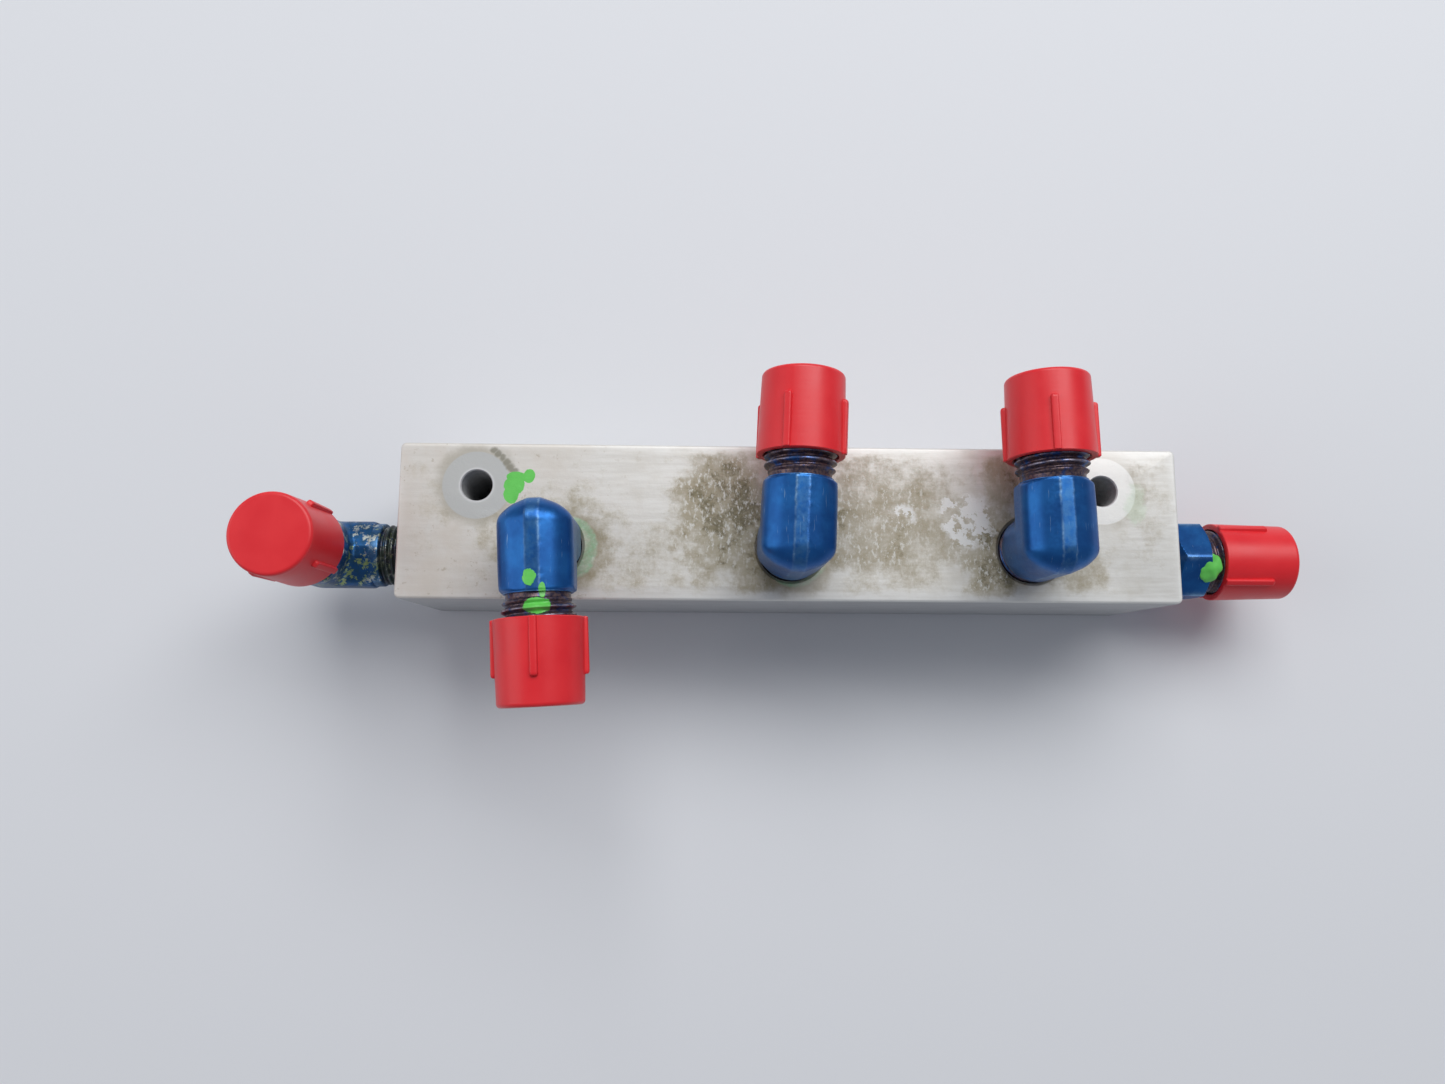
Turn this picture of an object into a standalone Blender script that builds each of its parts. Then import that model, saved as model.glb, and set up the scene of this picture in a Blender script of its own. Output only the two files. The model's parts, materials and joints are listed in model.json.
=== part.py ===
"""Flow control valve: a drilled aluminium bar that carries four forged tube elbows and one hex
nipple, each closed by a screw-on dust cap. Inside the bar are an inlet screen, a spring-loaded flow
regulator, a check valve and, in the legs of the three upper elbows, restrictor jets.

Frame: metres, +Z up. The origin is the centre of the bar's mounting face. +X runs along the bar
towards the inlet nipple, and the bar's bore and its upper ports lie in the plane y = PORT_Y.
"""

import math

import bmesh
import bpy
from mathutils import Matrix

# The bar and its two bolt holes, whose washers have pressed shallow seats into its top.
BAR_LENGTH = 0.127
BAR_WIDTH = 0.0254
BAR_HEIGHT = 0.028
BAR_EDGE = 0.0005
BOLT_HOLE_RADIUS = 0.0025
BOLT_HOLE_X = 0.051
BOLT_HOLE_Y = 0.0057
WASHER_SEAT_RADIUS = 0.00555
WASHER_SEAT_DEPTH = 0.00005

# The main bore along the bar, with a narrower web between its two ends.
PORT_Y = -0.0041
BORE_Z = BAR_HEIGHT / 2
BORE_RADIUS = 0.004
WEB_HALF_LENGTH = 0.006
WEB_BORE_RADIUS = 0.00275
RING_GROOVE_RADIUS = 0.0047

# The tapered pipe ports: two in the ends of the bar and three in its top.
TOP_PORT_X = {"left": -0.0392, "middle": -0.0002, "right": 0.039}
TOP_DRILL_RADIUS = 0.0025
TOP_TAP_DEPTH = 0.0092
END_TAP_DEPTH = 0.0072
TAP_MOUTH_RADIUS = 0.00538
TAP_BOTTOM_RADIUS = 0.00505
TAP_CHAMFER = 0.0005

# Pipe threads and flared-tube ends, which every fitting shares.
PIPE_BASE_RADIUS = 0.00525
PIPE_TIP_RADIUS = 0.00495
PIPE_BORE_RADIUS = 0.0024
FLARE_BORE_RADIUS = 0.0022
FLARE_NOSE_RADIUS = 0.0029
FLARE_BASE_RADIUS = 0.00475
FLARE_HALF_ANGLE = math.radians(37)
FLARE_LENGTH = (FLARE_BASE_RADIUS - FLARE_NOSE_RADIUS) / math.tan(FLARE_HALF_ANGLE)
THREAD_RADIUS = 0.00555
THREAD_CHAMFER = 0.0006
NECK_RADIUS = 0.0048
NECK_LENGTH = 0.0012

# The forged elbow, measured from the corner where its two axes cross.
FLARE_SHOULDER = 0.0088
FLARE_NOSE = 0.024
BEND_START_Y = -0.0015
BEND_RADIUS_LEAST = 0.0008
BEND_STEPS = 6
FLAT_HALF_WIDTH = 0.00565
FLAT_HALF_HEIGHT = 0.0026
LAND_HALF_WIDTH = 0.00095
LAND_HEIGHT = 0.0054
COLLAR_RADIUS = 0.00545
COLLAR_START = 0.0083
COLLAR_END = 0.0098
PIPE_TIP = 0.0198
BORE_CORNER = 0.0012

# Where the elbows stand: the upper ones above the bar, the end one beyond its left end.
TOP_ELBOW_Z = BAR_HEIGHT + 0.0115
END_ELBOW_X = -0.0789

# Which way each upper elbow points, as a turn about Z from +Y. None came up quite square.
TOP_ELBOW_TURN = {"left": 183.2, "middle": -2.4, "right": 1.2}

# The hex nipple at the right end, by its places along X.
NIPPLE_TIP_X = 0.0575
HEX_START_X = 0.0673
HEX_END_X = 0.073
HEX_ACROSS_FLATS = 0.0127
HEX_FACE_RADIUS = 0.006
NIPPLE_NOSE_X = 0.0868

# Dust caps, measured along the flare axis from the elbow's corner.
CAP_RIM = 0.0124
CAP_CLOSED = 0.0252
CAP_WALL = 0.0009
CAP_RIM_RADIUS = 0.00675
CAP_CLOSED_RADIUS = 0.0064
CAP_BORE_RADIUS = 0.00575
CAP_EDGE = 0.0007
RIB_COUNT = 4
RIB_START = 0.0125
RIB_LENGTH = 0.0084
RIB_WIDTH = 0.0011
RIB_ROOT_RADIUS = 0.0062
RIB_TIP_RADIUS = 0.0072

# Each cap's turn about its own axis, in degrees, where its thread came up tight.
CAP_TURN = {
    "top_left": -1,
    "top_middle": -24,
    "top_right": -12,
    "left_end": 53,
    "right_end": 37,
}

# Restrictor jets, in the lower ends of the upper elbows.
JET_RADIUS = 0.0022
JET_LENGTH = 0.005
JET_RECESS = 0.0005
JET_ORIFICE_RADIUS = 0.0006
JET_SLOT = 0.0008

# Flow regulator, between the web and the right-hand port, by places along X.
SLEEVE_START_X = 0.0063
SLEEVE_END_X = 0.0263
SLEEVE_FLOOR = 0.002
SLEEVE_RADIUS = 0.0039
SLEEVE_WAIST_RADIUS = 0.0033
SLEEVE_WAIST_END_X = 0.0142
SLEEVE_BORE_RADIUS = 0.0025
SLEEVE_PORT_X = 0.012
SLEEVE_PORT_RADIUS = 0.0011
SLEEVE_SLOT = 0.0012
SLEEVE_SEAL_X = 0.0181
STOP_GROOVE_RADIUS = 0.0029
STOP_RING_X = 0.0221
STOP_RING_THICKNESS = 0.0006
PISTON_SKIRT_X = 0.0132
PISTON_HEAD_X = 0.0215
PISTON_RADIUS = 0.0024
PISTON_INNER_RADIUS = 0.0019
PISTON_HEAD = 0.0016
PISTON_ORIFICE_RADIUS = 0.0006
REGULATOR_RING_X = 0.0273

# Check valve, between the web and the left-hand port, by places along X.
SEAT_START_X = -0.0063
SEAT_END_X = -0.011
SEAT_BORE_RADIUS = 0.0018
SEAT_MOUTH_RADIUS = 0.0026
SEAT_SEAL_X = -0.0086
POPPET_NOSE_X = -0.01
POPPET_NOSE_RADIUS = 0.00118
POPPET_RADIUS = 0.0027
POPPET_BACK_X = -0.013
STEM_RADIUS = 0.00102
STEM_END_X = -0.0222
GUIDE_START_X = -0.0192
GUIDE_END_X = -0.0214
GUIDE_BORE_RADIUS = 0.0011
GUIDE_HOLE_RADIUS = 0.0007
GUIDE_HOLE_PITCH_RADIUS = 0.00275
GUIDE_HOLE_COUNT = 4
CHECK_RING_X = -0.0224

# Seals, rings and coil springs.
SEAL_RING_RADIUS = 0.0035
SEAL_SECTION_RADIUS = 0.00042
SEAL_GROOVE_RADIUS = 0.003
SEAL_GROOVE_WIDTH = 0.0014
RING_OUTER_RADIUS = 0.0045
RING_INNER_RADIUS = 0.0032
RING_THICKNESS = 0.0007
RING_GAP = 0.002
SPRING_WIRE = 0.00036
REGULATOR_SPRING_RADIUS = 0.0015
REGULATOR_SPRING_TURNS = 8
CHECK_SPRING_RADIUS = 0.00165
CHECK_SPRING_TURNS = 5

# Inlet screen, gripped between the bar and the nipple, by places along X.
SCREEN_FLANGE_X = 0.0572
SCREEN_FLANGE = 0.0006
SCREEN_FLANGE_RADIUS = 0.0048
SCREEN_TIP_X = 0.0473
SCREEN_RADIUS = 0.0033
SCREEN_WALL = 0.0004
SCREEN_HOLE_RADIUS = 0.0006
SCREEN_HOLE_COUNT = 6
SCREEN_ROWS_X = (0.0495, 0.0518, 0.0541)

REST_GAP = 0.0003
OVERRUN = 0.001
OVERLAP = 0.0003
FITTING_SIDES = 24
INNER_SIDES = 16
SMALL_SIDES = 10
SEAL_SIDES = 6
COIL_POINTS_PER_TURN = 10
MERGE_DISTANCE = 0.00001
SMOOTH_ANGLE = math.radians(35)

ALONG_X = Matrix.Rotation(math.pi / 2, 4, "Y")
ALONG_Y = Matrix.Rotation(-math.pi / 2, 4, "X")


# ---------------------------------------------------------------- tools


def clear_scene():
    for obj in list(bpy.data.objects):
        bpy.data.objects.remove(obj)


def make_collection(name):
    group = bpy.data.collections.new(name)
    bpy.context.scene.collection.children.link(group)
    return group


def make_material(name, colour, roughness, metallic):
    material = bpy.data.materials.new(name)
    material.use_nodes = True
    shader = material.node_tree.nodes["Principled BSDF"]
    shader.inputs["Base Color"].default_value = (*colour, 1)
    shader.inputs["Roughness"].default_value = roughness
    shader.inputs["Metallic"].default_value = metallic
    return material


def place(obj, group, matrix):
    group.objects.link(obj)
    obj.matrix_world = matrix
    return obj


def as_cutter(obj):
    """Moves a shape to the cutters, which are drawn as wires and left out of renders."""
    for group in obj.users_collection:
        group.objects.unlink(obj)
    cutters.objects.link(obj)
    obj.hide_render = True
    obj.display_type = "WIRE"
    return obj


def turned(name, outline, group, matrix=Matrix(), sides=FITTING_SIDES):
    """A solid of revolution about the object's own Z axis. The outline lists (radius, height) down
    its outer side. It starts and ends on the axis, or it closes on itself and makes a ring."""
    shape = bmesh.new()
    points = [shape.verts.new((radius, 0, height)) for radius, height in outline]
    for upper, lower in zip(points, points[1:]):
        shape.edges.new((upper, lower))
    if outline[0][0] > 0:
        shape.edges.new((points[-1], points[0]))
    mesh = bpy.data.meshes.new(name)
    shape.to_mesh(mesh)
    shape.free()
    obj = place(bpy.data.objects.new(name, mesh), group, matrix)
    screw = obj.modifiers.new("Turn", "SCREW")
    screw.steps = screw.render_steps = sides
    screw.use_merge_vertices = True
    screw.merge_threshold = MERGE_DISTANCE
    return obj


def from_bmesh(name, shape, group, matrix=Matrix()):
    mesh = bpy.data.meshes.new(name)
    shape.to_mesh(mesh)
    shape.free()
    return place(bpy.data.objects.new(name, mesh), group, matrix)


def box(name, low, high, group, matrix=Matrix()):
    """A box between two opposite corners."""
    size = [b - a for a, b in zip(low, high)]
    centre = [(a + b) / 2 for a, b in zip(low, high)]
    shape = bmesh.new()
    to_size = Matrix.Translation(centre) @ Matrix.Diagonal((*size, 1))
    bmesh.ops.create_cube(shape, size=1, matrix=to_size)
    return from_bmesh(name, shape, group, matrix)


def rod(name, radius, low, high, group, matrix=Matrix(), sides=FITTING_SIDES):
    """A round bar along the object's own Z axis."""
    outline = [(0, high), (radius, high), (radius, low), (0, low)]
    return turned(name, outline, group, matrix, sides)


def combine(obj, tool, operation="DIFFERENCE"):
    modifier = obj.modifiers.new(tool.name, "BOOLEAN")
    modifier.operation = operation
    modifier.object = as_cutter(tool)


def finished_mesh(obj):
    """An object's mesh with its modifiers applied, for its copies to share."""
    graph = bpy.context.evaluated_depsgraph_get()
    mesh = bpy.data.meshes.new_from_object(obj.evaluated_get(graph))
    mesh.name = obj.name
    mesh.materials.clear()
    return mesh


def copy_of(mesh, name, matrix, material):
    if not mesh.materials:
        mesh.materials.append(material)
    return place(bpy.data.objects.new(name, mesh), parts, matrix)


def finish(obj, material):
    """Gives a part its material, with round faces shaded smooth and edges left sharp."""
    obj.data.materials.append(material)
    shade(obj.data)
    return obj


def shade(mesh):
    mesh.shade_smooth()
    mesh.set_sharp_from_angle(angle=SMOOTH_ANGLE)


def on_bore_axis(x=0.0):
    """The main bore's axis, with the object's own Z axis along +X."""
    return Matrix.Translation((x, PORT_Y, BORE_Z)) @ ALONG_X


# ---------------------------------------------------------------- bar


def main_bore_outline():
    """The cutter of the whole main bore, from the right-hand port to the left-hand one."""
    half = BAR_LENGTH / 2

    def port_end(side):
        return [
            (0, side * (half + OVERRUN)),
            (TAP_MOUTH_RADIUS + TAP_CHAMFER, side * (half + OVERRUN)),
            (TAP_MOUTH_RADIUS + TAP_CHAMFER, side * half),
            (TAP_MOUTH_RADIUS, side * (half - TAP_CHAMFER)),
            (TAP_BOTTOM_RADIUS, side * (half - END_TAP_DEPTH)),
            (BORE_RADIUS, side * (half - END_TAP_DEPTH)),
        ]

    def groove(x):
        return [
            (BORE_RADIUS, x + RING_THICKNESS),
            (RING_GROOVE_RADIUS, x + RING_THICKNESS),
            (RING_GROOVE_RADIUS, x - RING_THICKNESS),
            (BORE_RADIUS, x - RING_THICKNESS),
        ]

    web = [
        (BORE_RADIUS, WEB_HALF_LENGTH),
        (WEB_BORE_RADIUS, WEB_HALF_LENGTH),
        (WEB_BORE_RADIUS, -WEB_HALF_LENGTH),
        (BORE_RADIUS, -WEB_HALF_LENGTH),
    ]
    left = groove(CHECK_RING_X) + port_end(-1)[::-1]
    return port_end(1) + groove(REGULATOR_RING_X) + web + left


def top_port_outline():
    """The cutter of an upper port, from above the bar down to the main bore's axis."""
    return [
        (0, BAR_HEIGHT + OVERRUN),
        (TAP_MOUTH_RADIUS + TAP_CHAMFER, BAR_HEIGHT + OVERRUN),
        (TAP_MOUTH_RADIUS + TAP_CHAMFER, BAR_HEIGHT),
        (TAP_MOUTH_RADIUS, BAR_HEIGHT - TAP_CHAMFER),
        (TAP_BOTTOM_RADIUS, BAR_HEIGHT - TOP_TAP_DEPTH),
        (TOP_DRILL_RADIUS, BAR_HEIGHT - TOP_TAP_DEPTH),
        (TOP_DRILL_RADIUS, BORE_Z),
        (0, BORE_Z),
    ]


def bolt_hole_outline():
    """The cutter of a bolt hole, with the shallow seat that its washer has worn round it."""
    seat_floor = BAR_HEIGHT - WASHER_SEAT_DEPTH
    return [
        (0, BAR_HEIGHT + OVERRUN),
        (WASHER_SEAT_RADIUS, BAR_HEIGHT + OVERRUN),
        (WASHER_SEAT_RADIUS, seat_floor),
        (BOLT_HOLE_RADIUS, seat_floor),
        (BOLT_HOLE_RADIUS, -OVERRUN),
        (0, -OVERRUN),
    ]


def make_bar(material):
    half_length, half_width = BAR_LENGTH / 2, BAR_WIDTH / 2
    low = (-half_length, -half_width, 0)
    high = (half_length, half_width, BAR_HEIGHT)
    bar = box("valve_block", low, high, parts)
    edges = bar.modifiers.new("Edges", "BEVEL")
    edges.width = BAR_EDGE
    edges.segments = 2
    combine(bar, turned("main_bore", main_bore_outline(), cutters, on_bore_axis()))
    for side, x in TOP_PORT_X.items():
        there = Matrix.Translation((x, PORT_Y, 0))
        combine(bar, turned(f"port_{side}", top_port_outline(), cutters, there))
    for side in (-1, 1):
        there = Matrix.Translation((side * BOLT_HOLE_X, BOLT_HOLE_Y, 0))
        combine(bar, turned("bolt_hole", bolt_hole_outline(), cutters, there))
    bar.data.materials.append(material)


# ---------------------------------------------------------------- fittings


def flare_end_outline(shoulder, nose):
    """A flared-tube end along Z: the cone, the straight thread and the neck behind it."""
    cone_base = nose - FLARE_LENGTH
    thread_end = shoulder + NECK_LENGTH
    return [
        (0, nose),
        (FLARE_NOSE_RADIUS, nose),
        (FLARE_BASE_RADIUS, cone_base),
        (THREAD_RADIUS, cone_base - THREAD_CHAMFER),
        (THREAD_RADIUS, thread_end + THREAD_CHAMFER),
        (NECK_RADIUS, thread_end),
        (NECK_RADIUS, shoulder - OVERLAP),
        (0, shoulder - OVERLAP),
    ]


def pipe_end_outline(start, tip):
    """A tapered pipe end that runs down Z from its collar to its tip."""
    return [
        (0, start + OVERLAP),
        (PIPE_BASE_RADIUS, start + OVERLAP),
        (PIPE_BASE_RADIUS, start),
        (PIPE_TIP_RADIUS, tip),
        (0, tip),
    ]


def forged_line(x, out):
    """One lengthwise line of the forging, at x and at a distance out from its axis. It runs level
    from the flare shoulder, turns down round its own arc, and ends at the pipe collar."""
    radius = max(BEND_START_Y + out, BEND_RADIUS_LEAST)
    centre_y, centre_z = radius - out, out - radius
    line = [(x, FLARE_SHOULDER, out)]
    for step in range(BEND_STEPS + 1):
        turn = math.pi / 2 * step / BEND_STEPS
        line.append((x, centre_y - radius * math.sin(turn), centre_z + radius * math.cos(turn)))
    return [*line, (x, -out, -COLLAR_START)]


def forged_body():
    """The forging: an eight-sided section that runs from the flare shoulder, round a tight bend
    and down to the pipe collar. Its corner is at the origin, with the flare along +Y."""
    quarter = [(FLAT_HALF_WIDTH, FLAT_HALF_HEIGHT), (LAND_HALF_WIDTH, LAND_HEIGHT)]
    upper = quarter + [(-x, z) for x, z in quarter[::-1]]
    section = upper + [(-x, -z) for x, z in upper]
    shape = bmesh.new()
    lines = [[shape.verts.new(point) for point in forged_line(*corner)] for corner in section]
    for line, beside in zip(lines, lines[1:] + lines[:1]):
        for corners in zip(line, line[1:], beside[1:], beside):
            shape.faces.new(corners)
    bmesh.ops.holes_fill(shape, edges=shape.edges, sides=len(section))
    bmesh.ops.triangulate(shape, faces=shape.faces)
    bmesh.ops.recalc_face_normals(shape, faces=shape.faces)
    return from_bmesh("elbow_pattern", shape, parts)


def elbow_mesh():
    """One elbow with its corner at the origin, its flare along +Y and its pipe end down -Z."""
    elbow = forged_body()
    flare = flare_end_outline(FLARE_SHOULDER, FLARE_NOSE)
    combine(elbow, turned("flare_end", flare, cutters, ALONG_Y), "UNION")
    collar = rod("collar", COLLAR_RADIUS, -COLLAR_END, OVERLAP - COLLAR_START, cutters)
    combine(elbow, collar, "UNION")
    pipe = pipe_end_outline(-COLLAR_END, -PIPE_TIP)
    combine(elbow, turned("pipe_end", pipe, cutters), "UNION")
    flare_bore = (FLARE_BORE_RADIUS, -BORE_CORNER, FLARE_NOSE + OVERRUN)
    combine(elbow, rod("flare_bore", *flare_bore, cutters, ALONG_Y, INNER_SIDES))
    pipe_bore = (PIPE_BORE_RADIUS, -PIPE_TIP - OVERRUN, BORE_CORNER)
    combine(elbow, rod("pipe_bore", *pipe_bore, cutters, sides=INNER_SIDES))
    mesh = finished_mesh(elbow)
    shade(mesh)
    bpy.data.objects.remove(elbow)
    return mesh


def elbow_places():
    """Each elbow's matrix, from the pattern's frame to where it is screwed in."""
    places = {}
    for side, x in TOP_PORT_X.items():
        turn = Matrix.Rotation(math.radians(TOP_ELBOW_TURN[side]), 4, "Z")
        places[f"top_{side}"] = Matrix.Translation((x, PORT_Y, TOP_ELBOW_Z)) @ turn
    # The end elbow's pipe end points along +X and its flare straight up.
    lying = Matrix(((0, 0, -1, 0), (-1, 0, 0, 0), (0, 1, 0, 0), (0, 0, 0, 1)))
    places["left_end"] = Matrix.Translation((END_ELBOW_X, PORT_Y, BORE_Z)) @ lying
    return places


def make_elbows(material):
    mesh = elbow_mesh()
    for name, matrix in elbow_places().items():
        copy_of(mesh, f"elbow_{name}", matrix, material)


def make_nipple(material):
    """The inlet nipple: a hex with chamfered corners between a pipe end and a flared end."""
    corner_radius = HEX_ACROSS_FLATS / 2 / math.cos(math.pi / 6)
    shape = bmesh.new()
    bmesh.ops.create_cone(
        shape,
        cap_ends=True,
        segments=6,
        radius1=corner_radius,
        radius2=corner_radius,
        depth=HEX_END_X - HEX_START_X,
        matrix=Matrix.Translation((0, 0, (HEX_START_X + HEX_END_X) / 2))
        @ Matrix.Rotation(math.pi / 6, 4, "Z"),
    )
    nipple = from_bmesh("nipple_right_end", shape, parts, on_bore_axis())
    chamfer = corner_radius + OVERLAP - HEX_FACE_RADIUS
    limit = [
        (0, HEX_END_X),
        (HEX_FACE_RADIUS, HEX_END_X),
        (HEX_FACE_RADIUS + chamfer, HEX_END_X - chamfer),
        (HEX_FACE_RADIUS + chamfer, HEX_START_X + chamfer),
        (HEX_FACE_RADIUS, HEX_START_X),
        (0, HEX_START_X),
    ]
    combine(nipple, turned("hex_limit", limit, cutters, on_bore_axis()), "INTERSECT")
    flare = flare_end_outline(HEX_END_X, NIPPLE_NOSE_X)
    combine(nipple, turned("nipple_flare", flare, cutters, on_bore_axis()), "UNION")
    pipe = pipe_end_outline(HEX_START_X, NIPPLE_TIP_X)
    combine(nipple, turned("nipple_pipe", pipe, cutters, on_bore_axis()), "UNION")
    reach = (FLARE_BORE_RADIUS, NIPPLE_TIP_X - OVERRUN, NIPPLE_NOSE_X + OVERRUN)
    combine(nipple, rod("nipple_bore", *reach, cutters, on_bore_axis(), INNER_SIDES))
    finish(nipple, material)


# ---------------------------------------------------------------- dust caps


def cap_mesh():
    """One cap along Z, with four ribs for a finger grip. It is measured from the elbow's corner."""
    outline = [
        (0, CAP_CLOSED),
        (CAP_CLOSED_RADIUS - CAP_EDGE, CAP_CLOSED),
        (CAP_CLOSED_RADIUS, CAP_CLOSED - CAP_EDGE),
        (CAP_RIM_RADIUS, CAP_RIM),
        (CAP_BORE_RADIUS, CAP_RIM),
        (CAP_BORE_RADIUS, CAP_CLOSED - CAP_WALL),
        (0, CAP_CLOSED - CAP_WALL),
    ]
    cap = turned("cap_pattern", outline, parts)
    low = (RIB_ROOT_RADIUS, -RIB_WIDTH / 2, RIB_START)
    high = (RIB_TIP_RADIUS, RIB_WIDTH / 2, RIB_START + RIB_LENGTH)
    for number in range(RIB_COUNT):
        turn = Matrix.Rotation(2 * math.pi * number / RIB_COUNT, 4, "Z")
        combine(cap, box("rib", low, high, cutters, turn), "UNION")
    mesh = finished_mesh(cap)
    shade(mesh)
    bpy.data.objects.remove(cap)
    return mesh


def make_caps(material):
    mesh = cap_mesh()
    nipple_corner = NIPPLE_NOSE_X - FLARE_NOSE
    places = {name: matrix @ ALONG_Y for name, matrix in elbow_places().items()}
    places["right_end"] = on_bore_axis(nipple_corner)
    for name, matrix in places.items():
        turn = Matrix.Rotation(math.radians(CAP_TURN[name]), 4, "Z")
        copy_of(mesh, f"cap_{name}", matrix @ turn, material)


# ---------------------------------------------------------------- inner parts


def make_jets(material):
    """A slotted brass jet in the lower end of each upper elbow."""
    low = TOP_ELBOW_Z - PIPE_TIP + JET_RECESS
    high = low + JET_LENGTH
    outline = [
        (JET_ORIFICE_RADIUS, high),
        (JET_RADIUS, high),
        (JET_RADIUS, low),
        (JET_ORIFICE_RADIUS, low),
    ]
    for side, x in TOP_PORT_X.items():
        there = Matrix.Translation((x, PORT_Y, 0))
        jet = turned(f"restrictor_jet_{side}", outline, parts, there, INNER_SIDES)
        slot_low = (-JET_RADIUS - OVERRUN, -JET_SLOT / 2, low - OVERRUN)
        slot_high = (JET_RADIUS + OVERRUN, JET_SLOT / 2, low + JET_SLOT)
        combine(jet, box("jet_slot", slot_low, slot_high, cutters, there))
        finish(jet, material)


def seal_groove(x, outer_radius):
    """The steps of an O-ring groove, for an outline that runs towards -X."""
    half = SEAL_GROOVE_WIDTH / 2
    return [
        (outer_radius, x + half),
        (SEAL_GROOVE_RADIUS, x + half),
        (SEAL_GROOVE_RADIUS, x - half),
        (outer_radius, x - half),
    ]


def make_seal(name, x, material):
    """An O-ring that fills the space between its groove and the bar's bore."""
    steps = [math.pi / 2 - 2 * math.pi * n / SEAL_SIDES for n in range(SEAL_SIDES)]
    outline = [
        (
            SEAL_RING_RADIUS + SEAL_SECTION_RADIUS * math.cos(angle),
            x + SEAL_SECTION_RADIUS * math.sin(angle),
        )
        for angle in steps
    ]
    seal = turned(name, outline, parts, on_bore_axis(), INNER_SIDES)
    finish(seal, material)


def make_ring(name, x, outer, inner, thickness, material):
    """A split retaining ring, with its gap at the bottom."""
    half = thickness / 2
    outline = [(outer, x + half), (outer, x - half), (inner, x - half), (inner, x + half)]
    ring = turned(name, outline, parts, on_bore_axis(), INNER_SIDES)
    low = (0, -RING_GAP / 2, x - thickness)
    high = (outer + OVERRUN, RING_GAP / 2, x + thickness)
    combine(ring, box(f"{name}_gap", low, high, cutters, on_bore_axis()))
    finish(ring, material)


def make_coil(name, radius, start, end, turns, material):
    """A compression spring along X, with one closed turn at each end."""
    closed_rise = SPRING_WIRE * 1.2
    low, high = start + SPRING_WIRE / 2, end - SPRING_WIRE / 2
    open_pitch = (high - low - 2 * closed_rise) / (turns - 2)

    def height(turn):
        if turn < 1:
            return low + closed_rise * turn
        if turn > turns - 1:
            return high - closed_rise * (turns - turn)
        return low + closed_rise + open_pitch * (turn - 1)

    curve = bpy.data.curves.new(name, "CURVE")
    curve.dimensions = "3D"
    curve.bevel_depth = SPRING_WIRE / 2
    curve.bevel_resolution = 1
    curve.use_fill_caps = True
    spline = curve.splines.new("POLY")
    count = turns * COIL_POINTS_PER_TURN + 1
    spline.points.add(count - 1)
    for number, point in enumerate(spline.points):
        turn = number / COIL_POINTS_PER_TURN
        angle = 2 * math.pi * turn
        point.co = (radius * math.cos(angle), radius * math.sin(angle), height(turn), 1)
    curve.materials.append(material)
    place(bpy.data.objects.new(name, curve), parts, on_bore_axis())


def make_sleeve(material):
    """The regulator sleeve: closed towards the web, with side ports that the piston throttles."""
    floor = SLEEVE_START_X + SLEEVE_FLOOR
    groove_low = STOP_RING_X - STOP_RING_THICKNESS
    groove_high = STOP_RING_X + STOP_RING_THICKNESS
    outer = [(SLEEVE_BORE_RADIUS, SLEEVE_END_X), (SLEEVE_RADIUS, SLEEVE_END_X)]
    outer += seal_groove(SLEEVE_SEAL_X, SLEEVE_RADIUS)
    outer += [
        (SLEEVE_RADIUS, SLEEVE_WAIST_END_X),
        (SLEEVE_WAIST_RADIUS, SLEEVE_WAIST_END_X),
        (SLEEVE_WAIST_RADIUS, SLEEVE_START_X),
        (0, SLEEVE_START_X),
    ]
    inner = [
        (0, floor),
        (SLEEVE_BORE_RADIUS, floor),
        (SLEEVE_BORE_RADIUS, groove_low),
        (STOP_GROOVE_RADIUS, groove_low),
        (STOP_GROOVE_RADIUS, groove_high),
        (SLEEVE_BORE_RADIUS, groove_high),
    ]
    # The outline starts at the centre of the floor, so that both of its ends are on the axis.
    outline = inner + outer
    sleeve = turned("regulator_sleeve", outline, parts, on_bore_axis(), INNER_SIDES)
    across = Matrix.Translation((SLEEVE_PORT_X, PORT_Y, BORE_Z))
    reach = (SLEEVE_PORT_RADIUS, -SLEEVE_RADIUS - OVERRUN, SLEEVE_RADIUS + OVERRUN)
    for number, turn in enumerate((Matrix(), ALONG_Y)):
        drill = rod(f"sleeve_port_{number}", *reach, cutters, across @ turn, SMALL_SIDES)
        combine(sleeve, drill)
    low = (-SLEEVE_RADIUS - OVERRUN, -SLEEVE_SLOT / 2, SLEEVE_START_X - OVERRUN)
    high = (SLEEVE_RADIUS + OVERRUN, SLEEVE_SLOT / 2, SLEEVE_START_X + SLEEVE_SLOT)
    combine(sleeve, box("sleeve_slot", low, high, cutters, on_bore_axis()))
    finish(sleeve, material)


def make_piston(material):
    """The regulator piston: a cup whose head has the metering orifice."""
    outline = [
        (PISTON_ORIFICE_RADIUS, PISTON_HEAD_X),
        (PISTON_RADIUS, PISTON_HEAD_X),
        (PISTON_RADIUS, PISTON_SKIRT_X),
        (PISTON_INNER_RADIUS, PISTON_SKIRT_X),
        (PISTON_INNER_RADIUS, PISTON_HEAD_X - PISTON_HEAD),
        (PISTON_ORIFICE_RADIUS, PISTON_HEAD_X - PISTON_HEAD),
    ]
    finish(turned("regulator_piston", outline, parts, on_bore_axis(), INNER_SIDES), material)


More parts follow.
